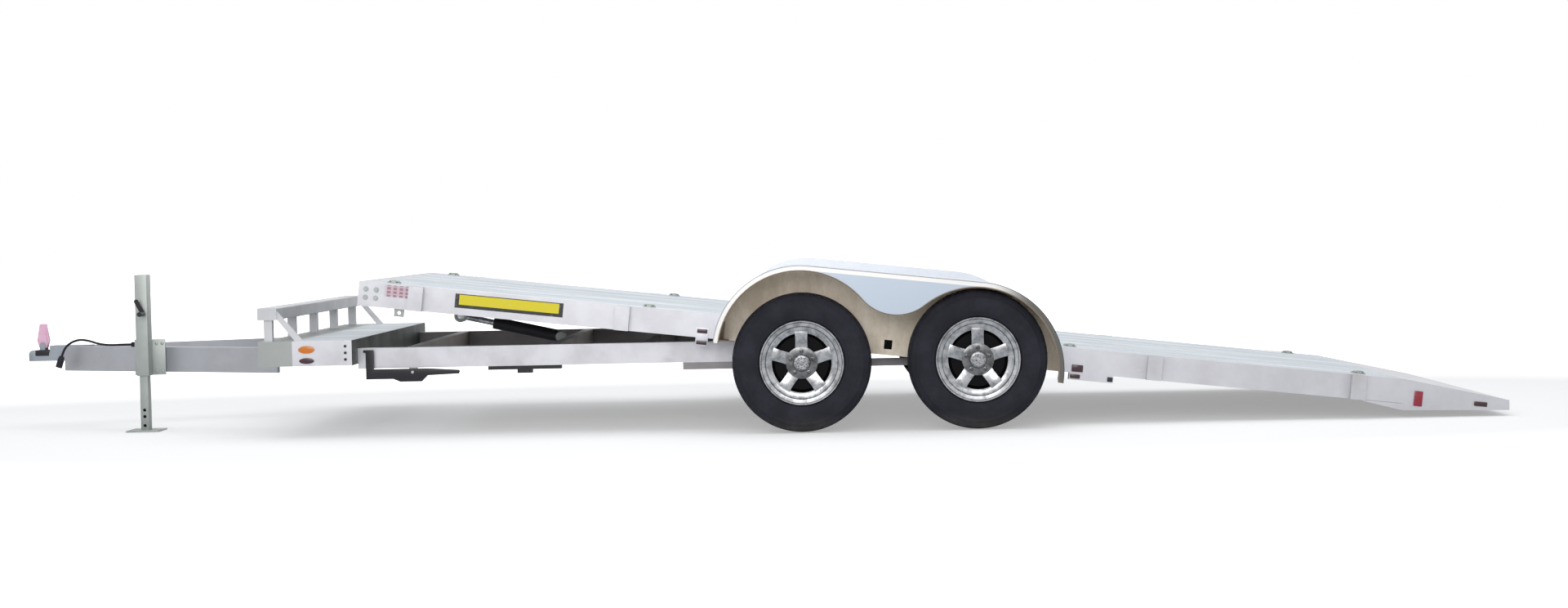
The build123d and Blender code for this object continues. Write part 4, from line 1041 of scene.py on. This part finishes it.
@dataclass
class Wheels:
    """Four tyres on five-spoke rims."""

    track_half: float = 1.160
    tread_steps: int = 168
    shoulder: Span = (0.0600, 0.0900)
    shoulder_radius: float = 0.315
    rib: Span = (0.0230, 0.0470)
    rib_radius: float = 0.325
    groove_depth: float = 0.006
    spokes: int = 5
    nut_circle: float = 0.0560

    def tyre_section(self) -> list[Span]:
        """The tyre's section from bead to bead, with its grooves and ribs."""
        side = [
            (0.0755, 0.1802), (0.0768, 0.2020), (0.0840, 0.2055), (0.0890, 0.2085),
            (0.0900, 0.2140), (0.0935, 0.2190), (0.0975, 0.2330), (0.0998, 0.2480),
            (0.1006, 0.2620), (0.1000, 0.2760), (0.0985, 0.2860), (0.0992, 0.2885),
            (0.0980, 0.2935), (0.0965, 0.2950), (0.0935, 0.3060), (0.0885, 0.3165),
            (0.0830, 0.3220),
        ]
        crown = [
            (0.0600, 0.3262), (0.0580, 0.3190), (0.0500, 0.3192), (0.0480, 0.3284),
            (0.0220, 0.3308), (0.0200, 0.3232), (0.0120, 0.3234), (0.0100, 0.3312),
        ]
        half = side + crown
        return half + [(-out, radius) for out, radius in reversed(half)]

    def tyre(self, corner: Corner) -> None:
        """Spins a tyre and cuts cross grooves into its tread."""
        mesh = bmesh.new()
        faces = Bench.spun(mesh, self.tyre_section(), self.tread_steps)
        cuts = []
        for face in faces:
            middle = face.calc_center_median()
            radius = (middle.x**2 + middle.z**2) ** 0.5
            turn = round((Vector((middle.x, middle.z)).angle_signed(Vector((0, 1))) + pi)
                         / (2 * pi) * self.tread_steps)
            out = abs(middle.y)
            shoulder = self.shoulder[0] < out < self.shoulder[1] and radius > self.shoulder_radius
            rib = self.rib[0] < out < self.rib[1] and radius > self.rib_radius
            if (shoulder and turn % 4 == 0) or (rib and turn % 5 == 1):
                cuts.append(face)
        grooves = bmesh.ops.extrude_discrete_faces(mesh, faces=cuts)["faces"]
        for face in grooves:
            inward = face.calc_center_median()
            inward.y = 0
            bmesh.ops.translate(
                mesh, verts=face.verts, vec=-inward.normalized() * self.groove_depth
            )
        tyre = corner.fit("tread", mesh, Finishes.TYRE, "tyre_rubber")
        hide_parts(f"tyre_{corner.word}")

    def star(self, corner: Corner) -> None:
        """Makes the spokes."""
        star = bmesh.new()
        outline = [
            (0.0350, 0.0560, 0.040), (0.0330, 0.0900, 0.046), (0.0330, 0.1200, 0.050),
            (0.0360, 0.1480, 0.0532),
        ]
        Bench.joined(star, [
            (
                (-half, out, radius), (-half * 0.86, out + 0.0125, radius),
                (half * 0.86, out + 0.0125, radius), (half, out, radius),
                (half * 0.8, out - 0.014, radius), (-half * 0.8, out - 0.014, radius),
            )
            for half, radius, out in outline
        ])
        Bench.turned_copies(star, self.spokes)
        corner.fit("rim_star", star, Finishes.RIM, "wheel_rim", 0.0015)

    def nuts(self, corner: Corner) -> None:
        """Makes the lug nuts with their rounded ends."""
        nuts = bmesh.new()
        ring = self.nut_circle
        Bench.rod(nuts, (0, 0.0560, ring), (0, 0.0720, ring), 0.0115, 6)
        Bench.rod(nuts, (0, 0.0716, ring), (0, 0.0745, ring), 0.0070, 12, 0.004)
        Bench.turned_copies(nuts, self.spokes)
        corner.fit("lug_nuts", nuts, Finishes.NUT, "wheel_rim", 0.0008)

    def rim(self, corner: Corner) -> None:
        """Makes the lip, the barrel, the star of spokes, the flange and the nuts."""
        lip = corner.spin("rim_lip", Finishes.RIM, "wheel_rim", (72, (
            (0.0766, 0.1802), (0.0766, 0.1985), (0.0790, 0.2008), (0.0825, 0.2008),
            (0.0840, 0.1985), (0.0838, 0.1930), (0.0800, 0.1895), (0.0790, 0.1800),
            (0.0780, 0.1740), (0.0700, 0.1725), (0.0655, 0.1690), (0.0650, 0.1520),
            (0.0605, 0.1415), (0.0480, 0.1400), (0.0480, 0.1745), (0.0600, 0.1790),
        )))
        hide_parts(f"rim_{corner.word}")
        # painted shade: the barrel and a disc behind the spokes, near-black, stand for the shade
        # inside the wheel
        corner.spin("rim_barrel", Finishes.DRUM, "drum_iron", (64, (
            (0.0600, 0.1796), (0.0600, 0.1730), (-0.0840, 0.1730), (-0.0840, 0.2008),
            (-0.0770, 0.2008), (-0.0770, 0.1796),
        )), (48, (
            (0.0150, 0.1290), (0.0150, 0.1700), (0.0080, 0.1725), (0.0040, 0.1725),
            (0.0100, 0.1290),
        )))
        self.star(corner)
        corner.spin("rim_flange", Finishes.FLANGE, "wheel_rim", (40, (
            (0.0440, 0.0206), (0.0440, 0.0700), (0.0500, 0.0780), (0.0560, 0.0760),
            (0.0580, 0.0690), (0.0580, 0.0420), (0.0560, 0.0400), (0.0500, 0.0206),
        )))
        self.nuts(corner)

    def build(self) -> None:
        """Makes all four wheels."""
        for end, x in zip(("front", "rear"), SPINDLES):
            for side in Side:
                turn = Matrix.Rotation(0.0 if side is Side.RIGHT else pi, 4, "Z")
                place = Matrix.Translation((x, side.value * self.track_half, SPINDLE_HEIGHT))
                corner = Corner(end, side, place @ turn)
                self.tyre(corner)
                self.rim(corner)


@dataclass(frozen=True)
class SideLamp:
    """A lamp or marker on the bed rails, with its middle and its size."""

    x: float
    z: float
    length: float
    height: float
    finish: Finish = Finishes.REFLECTOR
    base: float = 0.0


@dataclass(frozen=True)
class Plate:
    """A thin plate or label on a bed rail, with its middle and its half sizes."""

    name: str
    sides: tuple[Side, ...]
    x: float
    z: float
    half_length: float
    half_height: float
    colour: Triple
    border: Triple
    margin: float
    lift: float = 0.0
    cell: float = 0.0

    def finish(self) -> Vinyl:
        """What the plate is dressed in."""
        return Vinyl(
            f"{self.name}_vinyl", colour=self.colour, border=self.border,
            centre=tuple(BED_REST @ Vector((self.x, 0.0, self.z))),
            half_length=self.half_length - self.margin,
            half_height=self.half_height - self.margin / 2, lift=self.lift, cell=self.cell,
        )


@dataclass
class Bed:
    """The tipping bed's lamps, tie rings, bolts, brackets, plate and label."""

    rail_face: float = 1.029
    deck_top: float = 0.520
    lamp_depth: float = 0.008
    lamp_base: float = 0.004
    plate_depth: float = 0.0008
    well_face: float = 1.032
    ring_places: tuple[float, ...] = (-1.644, -0.394, 1.656, 3.056)
    ring_line: float = 0.900
    ring_radius: float = 0.021
    ring_wire: float = 0.005
    pad_half: float = 0.030
    pad_height: float = 0.004
    pad_bolt: float = 0.023
    pad_bolt_height: float = 0.004
    gusset_depth: float = 0.008
    side_lamps: tuple[SideLamp, ...] = (
        SideLamp(-0.119, 0.434, 0.050, 0.020, base=0.004),
        SideLamp(-0.119, 0.378, 0.050, 0.018, base=0.004),
        SideLamp(1.690, 0.424, 0.054, 0.034),
        SideLamp(3.324, 0.432, 0.040, 0.072, Finishes.RED),
        SideLamp(3.622, 0.434, 0.062, 0.022),
        SideLamp(1.682, 0.385, 0.048, 0.020),
        SideLamp(1.850, 0.385, 0.026, 0.022, Finishes.BLACK),
    )
    rail_plates: tuple[Plate, ...] = (
        Plate("rail_plate", (Side.LEFT, Side.RIGHT), -1.059, 0.470, 0.262, 0.034,
              (0.80, 0.68, 0.01), (0.02, 0.02, 0.02), 0.020, lift=0.006),
        Plate("rail_label", (Side.LEFT,), -1.605, 0.486, 0.059, 0.028,
              (0.72, 0.52, 0.58), (0.70, 0.68, 0.70), 0.008, cell=0.030),
    )

    def lamps(self) -> None:
        """Makes the lamps of both bed rails and the base of the front pair."""
        for side in Side:
            for number, lamp in enumerate(self.side_lamps, 1):
                face = self.rail_face + lamp.base
                lens = bmesh.new()
                Bench.slab(
                    lens, side, (lamp.x - lamp.length / 2, lamp.x + lamp.length / 2),
                    (face, face + self.lamp_depth),
                    (lamp.z - lamp.height / 2, lamp.z + lamp.height / 2),
                )
                piece = Bench.finish_piece(
                    f"side_lamp_{side.word}_{number}", lens, lamp.finish, "bed", "lamp_dark",
                    BED_REST, bevel=0.003,
                )
                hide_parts("bed_lamps")
            base = bmesh.new()
            Bench.slab(
                base, side, (-0.149, -0.089), (self.rail_face, self.rail_face + self.lamp_base),
                (0.362, 0.450),
            )
            Bench.finish_piece(
                f"lamp_plate_{side.word}", base, Finishes.RAIL, "bed", "lamp_dark", BED_REST,
                bevel=0.001,
            )

    def rings(self) -> None:
        """Lays each tie ring flat on its bolted pad."""
        lying = Matrix.Rotation(pi / 2, 4, "X")
        wire, pad, half = self.ring_wire, self.pad_height, self.pad_half
        bolt_top = pad + self.pad_bolt_height
        section = [
            (pad + wire + wire * sin(turn * pi / 5), self.ring_radius + wire * cos(turn * pi / 5))
            for turn in range(10)
        ]
        for side in Side:
            for number, x in enumerate(self.ring_places, 1):
                mesh = bmesh.new()
                Bench.spun(mesh, section, 32)
                Bench.block(mesh, (-half, 0.0, -half), (half, pad, half))
                Bench.block(mesh, (-0.011, pad, 0.015), (0.011, 0.0155, 0.027))
                for across in (-self.pad_bolt, self.pad_bolt):
                    for along in (-self.pad_bolt, self.pad_bolt):
                        foot, head = (across, pad, along), (across, bolt_top, along)
                        Bench.rod(mesh, foot, head, 0.0045, 6)
                place = Matrix.Translation((x, side.value * self.ring_line, self.deck_top))
                piece = Bench.finish_piece(
                    f"tie_ring_{side.word}_{number}", mesh, Finishes.ZINC, "bed", "zinc_steel",
                    BED_REST @ place @ lying,
                )
                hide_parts("tie_rings")

    def header_bolts(self, side: Side) -> None:
        """Sets four washered bolt heads at the front of a rail."""
        out = Vector((0, side.value, 0))
        heads = bmesh.new()
        for x in (-1.755, -1.705):
            for z in (0.445, 0.485):
                foot = Vector((x, side.value * self.rail_face, z))
                Bench.rod(heads, foot, foot + out * 0.002, 0.0130, 20)
                Bench.rod(heads, foot, foot + out * 0.0075, 0.0090, 6)
        Bench.finish_piece(
            f"header_bolts_{side.word}", heads, Finishes.ZINC, "bed", "zinc_steel", BED_REST
        )

    def hem_bracket(self, side: Side) -> None:
        """Stands the bracket at the front foot of a fender."""
        hem = bmesh.new()
        Bench.slab(hem, side, (-0.050, 0.012), (self.well_face, 1.200), (0.4040, 0.4080))
        Bench.slab(hem, side, (-0.036, -0.014), (self.well_face, 1.062), (0.4040, 0.4900))
        Bench.finish_piece(
            f"hem_bracket_{side.word}", hem, Finishes.EDGE, "bed", "fender_sheet", BED_REST,
            bevel=0.001,
        )

    def tail_gusset(self, side: Side) -> None:
        """Joins a rail's underside to the tail wedge."""
        gusset = bmesh.new()
        Bench.joined(gusset, [
            [(x, side.value * y, z) for x, z in ((3.020, 0.403), (3.251, 0.403), (3.251, 0.370))]
            for y in (self.rail_face - self.gusset_depth, self.rail_face)
        ])
        Bench.finish_piece(
            f"tail_gusset_{side.word}", gusset, Finishes.RAIL, "bed", "mill_aluminium", BED_REST,
            smooth=False,
        )

    def well_cover(self, side: Side) -> None:
        """Sets a near-black patch on the well plate between two wheels, as painted shade of a hole
        there.
        """
        # painted shade: a near-black patch standing for a hole
        shade_patch = bmesh.new()
        Bench.slab(shade_patch, side, (0.757, 0.795), (1.0315, 1.0365), (0.431, 0.475))
        Bench.finish_piece(
            f"well_cover_{side.word}", shade_patch, Finishes.DRUM, "bed", "lamp_dark", BED_REST,
            bevel=0.003,
        )

    def plates(self) -> None:
        """Sticks the bare yellow plate and the label on the rails."""
        for plate in self.rail_plates:
            for side in plate.sides:
                sheet = bmesh.new()
                Bench.slab(
                    sheet, side, (plate.x - plate.half_length, plate.x + plate.half_length),
                    (self.rail_face, self.rail_face + self.plate_depth),
                    (plate.z - plate.half_height, plate.z + plate.half_height),
                )
                Bench.finish_piece(
                    f"{plate.name}_{side.word}", sheet, plate.finish(), "bed", "lamp_dark",
                    BED_REST, smooth=False,
                )

    def build(self) -> None:
        """Makes everything that is fixed to the bed."""
        self.lamps()
        self.rings()
        for side in Side:
            self.header_bolts(side)
            self.hem_bracket(side)
            self.tail_gusset(side)
            self.well_cover(side)
        self.plates()


@dataclass
class Fenders:
    """The two twin-wheel fenders, each a well plate, an arched top and a skirt."""

    arch_height: float = 0.386
    arch_radius: float = 0.413
    sheet: float = 0.004
    opening_radius: float = 0.391
    dip_height: float = 0.609
    dip_radius: float = 0.2093
    well: Span = (1.029, 1.032)
    outer: float = 1.289
    well_foot: float = 0.402
    feet: Span = (0.0281, -0.0601)
    bead_line: float = 1.2835
    bead_radius: float = 0.005

    def opening(self) -> list[Span]:
        """The skirt's wheel opening from its front foot over the dip to its rear foot.

        Returns:
            Its points as x and z of the level bed.
        """
        front, rear = SPINDLES
        middle = (front + rear) / 2
        dip_middle = self.dip_height + self.dip_radius
        touch = atan2(dip_middle - self.arch_height, middle - front)
        radius, steps = self.opening_radius, 28
        points = []
        for step in range(steps + 1):
            turn = pi - self.feet[0] + (touch - pi + self.feet[0]) * step / steps
            points.append((front + radius * cos(turn), self.arch_height + radius * sin(turn)))
        for step in range(1, steps):
            turn = (pi / 2 - touch) * (2 * step / steps - 1)
            points.append(
                (middle + self.dip_radius * sin(turn), dip_middle - self.dip_radius * cos(turn))
            )
        for step in range(steps + 1):
            turn = pi - touch + (self.feet[1] - pi + touch) * step / steps
            points.append((rear + radius * cos(turn), self.arch_height + radius * sin(turn)))
        return points

    def crown(self, point: Span, radius: float) -> Span:
        """Where the arch of a radius lies straight out from a point of the opening."""
        front, rear = SPINDLES
        if front < point[0] < rear:
            return (point[0], self.arch_height + radius)
        middle = front if point[0] <= front else rear
        ray = Vector((point[0] - middle, point[1] - self.arch_height)).normalized() * radius
        return (middle + ray.x, self.arch_height + ray.y)

    def build(self) -> None:
        """Makes both fenders and the bead along each opening."""
        opening = self.opening()
        top = [self.crown(point, self.arch_radius) for point in opening]
        under = [self.crown(point, self.arch_radius - self.sheet) for point in opening]
        for side in Side:
            near, face = side.value * self.well[0], side.value * self.outer
            back = side.value * (self.outer - self.sheet)
            wall = side.value * self.well[1]
            mesh = bmesh.new()
            Bench.joined(mesh, [
                ((a[0], near, a[1]), (a[0], face, a[1]), (b[0], face, b[1]), (b[0], near, b[1]))
                for a, b in zip(top, under)
            ])
            Bench.joined(mesh, [
                ((a[0], face, a[1]), (b[0], face, b[1]), (b[0], back, b[1]), (a[0], back, a[1]))
                for a, b in zip(under, opening)
            ])
            feet = [(x, min(z - 0.0005, self.well_foot)) for x, z in under]
            Bench.joined(mesh, [
                ((a[0], near, a[1]), (b[0], near, b[1]), (b[0], wall, b[1]), (a[0], wall, a[1]))
                for a, b in zip(under, feet)
            ])
            piece = Bench.finish_piece(
                f"fender_sheet_{side.word}", mesh, Finishes.FENDER, "bed", "fender_sheet", BED_REST
            )
            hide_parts(f"fender_{side.word}")
            line = side.value * self.bead_line
            Bench.bead(
                f"fender_edge_{side.word}",
                [tuple(BED_REST @ Vector((x, line, z))) for x, z in opening[::2]],
                self.bead_radius, Finishes.EDGE, "bed", "fender_sheet",
            )


@dataclass
class Jack:
    """The jack's slim tube, its mounting plate, its leg and its foot."""

    middle: Span = (-3.0095, -0.3918)
    tube_half: Span = (0.031, 0.038)
    tube_height: Span = (0.284, 0.799)
    plate_run: Span = (-3.0705, -2.9125)
    plate_y: Span = (-0.3538, -0.3438)
    plate_top: float = 0.467
    beam_y: float = -0.2701
    gusset_feet: Span = (0.298, 0.415)
    gusset_depth: float = 0.010
    leg_half: Span = (0.0215, 0.0255)
    leg_height: Span = (0.006, 0.524)
    foot_half: float = 0.0835
    foot_depth: float = 0.008
    crank: Span = (-3.0265, 0.664)
    hole_radius: float = 0.008

    def housing(self) -> None:
        """Makes the fixed tube with its plate, gussets, crank boss and bolts."""
        x, y = self.middle
        half_x, half_y = self.tube_half
        bottom, top = self.tube_height
        front, rear = self.plate_run
        outer, inner = self.plate_y
        tube = bmesh.new()
        Bench.block(tube, (x - half_x, y - half_y, bottom), (x + half_x, y + half_y, top))
        Bench.block(tube, (front, outer, bottom), (rear, inner, self.plate_top))
        for z in self.gusset_feet:
            Bench.joined(tube, [
                ((front, inner, height), (rear, inner, height), (front, self.beam_y, height))
                for height in (z, z + self.gusset_depth)
            ])
        boss_x, boss_z = self.crank
        Bench.rod(
            tube, (boss_x, y - half_y, boss_z), (boss_x, y - half_y - 0.012, boss_z), 0.0135, 24
        )
        for bolt_x in (-2.957, -2.927):
            for bolt_z in (0.305, 0.446):
                Bench.rod(tube, (bolt_x, outer, bolt_z), (bolt_x, -0.3610, bolt_z), 0.0085, 6)
        piece = Bench.finish_piece(
            "jack_housing", tube, Finishes.ZINC, "chassis", "zinc_steel", bevel=0.0025
        )
        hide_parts("jack_tube")

    def slide(self) -> None:
        """Makes the sliding leg with its foot, and near-black discs on its face as painted shade of
        its pin holes.
        """
        x, y = self.middle
        half_x, half_y = self.leg_half
        bottom, top = self.leg_height
        foot = self.foot_half
        leg = bmesh.new()
        Bench.block(leg, (x - half_x, y - half_y, bottom), (x + half_x, y + half_y, top))
        Bench.block(leg, (x - foot, y - foot, 0.0), (x + foot, y + foot, self.foot_depth))
        piece = Bench.finish_piece(
            "jack_slide_leg", leg, Finishes.ZINC, "jack_leg", "zinc_steel", bevel=0.002
        )
        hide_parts("jack_leg")
        # painted shade: near-black discs standing for the pin holes
        holes = bmesh.new()
        face = y - half_y
        for z in (0.030, 0.076, 0.109):
            Bench.rod(holes, (x, face + 0.001, z), (x, face - 0.0006, z), self.hole_radius, 20)
        Bench.finish_piece("jack_leg_holes", holes, Finishes.DRUM, "jack_leg", "zinc_steel")

    def build(self) -> None:
        """Makes the fixed tube, then the sliding leg."""
        self.housing()
        self.slide()


@dataclass
class Platform:
    """The fixed platform's lamps and bolts, and a black band on the coupler as painted shadow under
    its latch.
    """

    face: float = 1.030
    lamp_x: float = -2.0345
    lamp_depth: float = 0.008
    bolt_x: float = -1.846
    bolt_heights: tuple[float, ...] = (0.380, 0.412, 0.444)

    def lamps(self) -> None:
        """Makes the oval amber lamp and the oval reflector at each end."""
        for side in Side:
            for name, z, half_x, half_z, finish in (
                ("amber_lamp", 0.430, 0.039, 0.018, Finishes.AMBER),
                ("reflector", 0.376, 0.036, 0.014, Finishes.REFLECTOR),
            ):
                mesh = bmesh.new()
                middle = side.value * (self.face + self.lamp_depth / 2)
                place = Matrix.Translation((self.lamp_x, middle, z))
                place = place @ Matrix.Rotation(pi / 2, 4, "X")
                place = place @ Matrix.Diagonal((half_x, half_z, 1.0, 1.0))
                bmesh.ops.create_cone(
                    mesh, cap_ends=True, segments=40, radius1=1.0, radius2=1.0,
                    depth=self.lamp_depth, matrix=place,
                )
                piece = Bench.finish_piece(
                    f"{name}_{side.word}", mesh, finish, "chassis", "lamp_lens", bevel=0.003
                )
                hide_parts("platform_lamps")

    def fasteners(self) -> None:
        """Sets bolts at the platform's rear corners, and a black band on the coupler as painted
        shadow under its latch.
        """
        for side in Side:
            heads = bmesh.new()
            for z in self.bolt_heights:
                foot = Vector((self.bolt_x, side.value * self.face, z))
                Bench.rod(heads, foot, foot + Vector((0, side.value * 0.005, 0)), 0.0070, 6)
            Bench.finish_piece(
                f"platform_bolts_{side.word}", heads, Finishes.BLACK, "chassis", "zinc_steel"
            )
        # painted shadow: a black band on the coupler, under its latch
        shadow_band = bmesh.new()
        Bench.block(shadow_band, (-3.690, -0.0432, 0.3770), (-3.617, 0.0432, 0.4075))
        Bench.finish_piece(
            "latch_shadow_band", shadow_band, Finishes.BLACK, "chassis", "zinc_steel", bevel=0.002
        )

    def build(self) -> None:
        """Makes the lamps, then the fasteners."""
        self.lamps()
        self.fasteners()


@dataclass
class Latches:
    """The plates that thicken the bed latch and the coupler's latch."""

    cheek_y: Span = (-0.9015, -0.9075)
    cheek: tuple[Span, ...] = (
        (-1.785, 0.416), (-1.734, 0.416), (-1.734, 0.3225), (-1.470, 0.3225), (-1.316, 0.3120),
        (-1.316, 0.2940), (-1.470, 0.2880), (-1.500, 0.2590), (-1.605, 0.2590), (-1.640, 0.2730),
        (-1.773, 0.2730), (-1.773, 0.404), (-1.785, 0.404),
    )
    web_y: Span = (-0.012, 0.012)
    web: tuple[Span, ...] = (
        (-3.6815, 0.4330), (-3.6885, 0.4560), (-3.6740, 0.5400), (-3.6670, 0.5445),
        (-3.6460, 0.5445), (-3.6390, 0.5400), (-3.6245, 0.4560), (-3.6315, 0.4330),
    )

    def cut(self, name: str, outline: Sequence[Span], thickness: Span, finish: Finish,
            body: str, slot: str) -> None:
        """Cuts a plate to an outline in the x and z of the row.

        Args:
            name: The piece's name.
            outline: Its corners as x and z.
            thickness: Where its two faces lie along y.
            finish: What it is dressed in.
            body: The body that it rides on.
            slot: The record's material slot that it stands for; it is not used.
        """
        mesh = bmesh.new()
        Bench.joined(mesh, [[(x, y, z) for x, z in outline] for y in thickness])
        Bench.finish_piece(name, mesh, finish, body, slot, bevel=0.0015)

    def build(self) -> None:
        """Makes the welded cheek of the bed latch and the web of the coupler's latch."""
        self.cut("bed_latch_cheek", self.cheek, self.cheek_y, Finishes.BLACK, "bed_latch",
                 "black_paint")
        self.cut("coupler_latch_web", self.web, self.web_y, Finishes.LATCH, "coupler_latch",
                 "latch_red")


@dataclass
class Dressing:
    """Which finish each solid of the frame wears."""

    def plan(self) -> dict[Finish, list[str]]:
        """The nodes by finish."""
        ends = [f"{end}_{side.word}" for end in ("front", "rear") for side in Side]
        return {
            Finishes.RAIL: ["bed_rail_left", "bed_rail_right", "rail_skids", "tail_wedge"],
            Finishes.PLATFORM: ["platform_frame"],
            Finishes.BEAM: ["front_beam"],
            Finishes.CHASSIS: ["chassis_rail_left", "chassis_rail_right"],
            Finishes.CROSSWISE: ["stop_rail", "bed_header"],
            Finishes.UNDERSIDE: ["chassis_crossmembers", "bed_crossmembers", "bed_pivot_lugs",
                                 "pivot_brackets"],
            Finishes.TONGUE: ["tongue_beam_left", "tongue_beam_right"],
            Finishes.POCKET: ["stake_pockets_left", "stake_pockets_right"],
            Finishes.DECK: ["deck"],
            Finishes.PLATFORM_DECK: ["platform_deck"],
            Finishes.ZINC: ["axle_front", "axle_rear", "cylinder_clevis",
                            "cylinder_bracket", "latch_keeper", "latch_plate"],
            Finishes.COUPLER: ["coupler"],
            Finishes.BLACK: ["bed_latch", "rail_bracket", "cylinder_barrel", "jack_crank"],
            Finishes.LATCH: ["coupler_latch"],
            Finishes.LEAD: ["lead_gland", "lead_plug"],
            Finishes.ROD: ["cylinder_rod"],
            Finishes.HUB: [f"hub_{end}" for end in ends],
        }

    def build(self, nodes: dict[str, bpy.types.Object]) -> None:
        """Dresses every carried-over solid.

        Args:
            nodes: The frame's objects by node name.
        """
        for finish, names in self.plan().items():
            for name in names:
                data = nodes[name].data
                if not data.materials:
                    data.materials.append(None)
                for number in range(len(data.materials)):
                    data.materials[number] = finish.material()
                LOG.info("%s wears %s", name, finish.name)


def main(frame: dict[str, object]) -> None:
    """Builds every sub-assembly in order.

    Args:
        frame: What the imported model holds.
    """
    logging.basicConfig(level=logging.INFO, format="%(message)s")
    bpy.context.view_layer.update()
    Studio().build()
    Lead().build()
    Dressing().build(frame["nodes"])
    steps: tuple[Callable[[], None], ...] = (
        Wheels().build, Bed().build, Fenders().build, Jack().build, Platform().build,
        Latches().build,
    )
    for step in steps:
        step()
    view = bpy.context.scene.view_settings
    view.view_transform = "Standard"


if __name__ == "__main__":
    main(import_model())
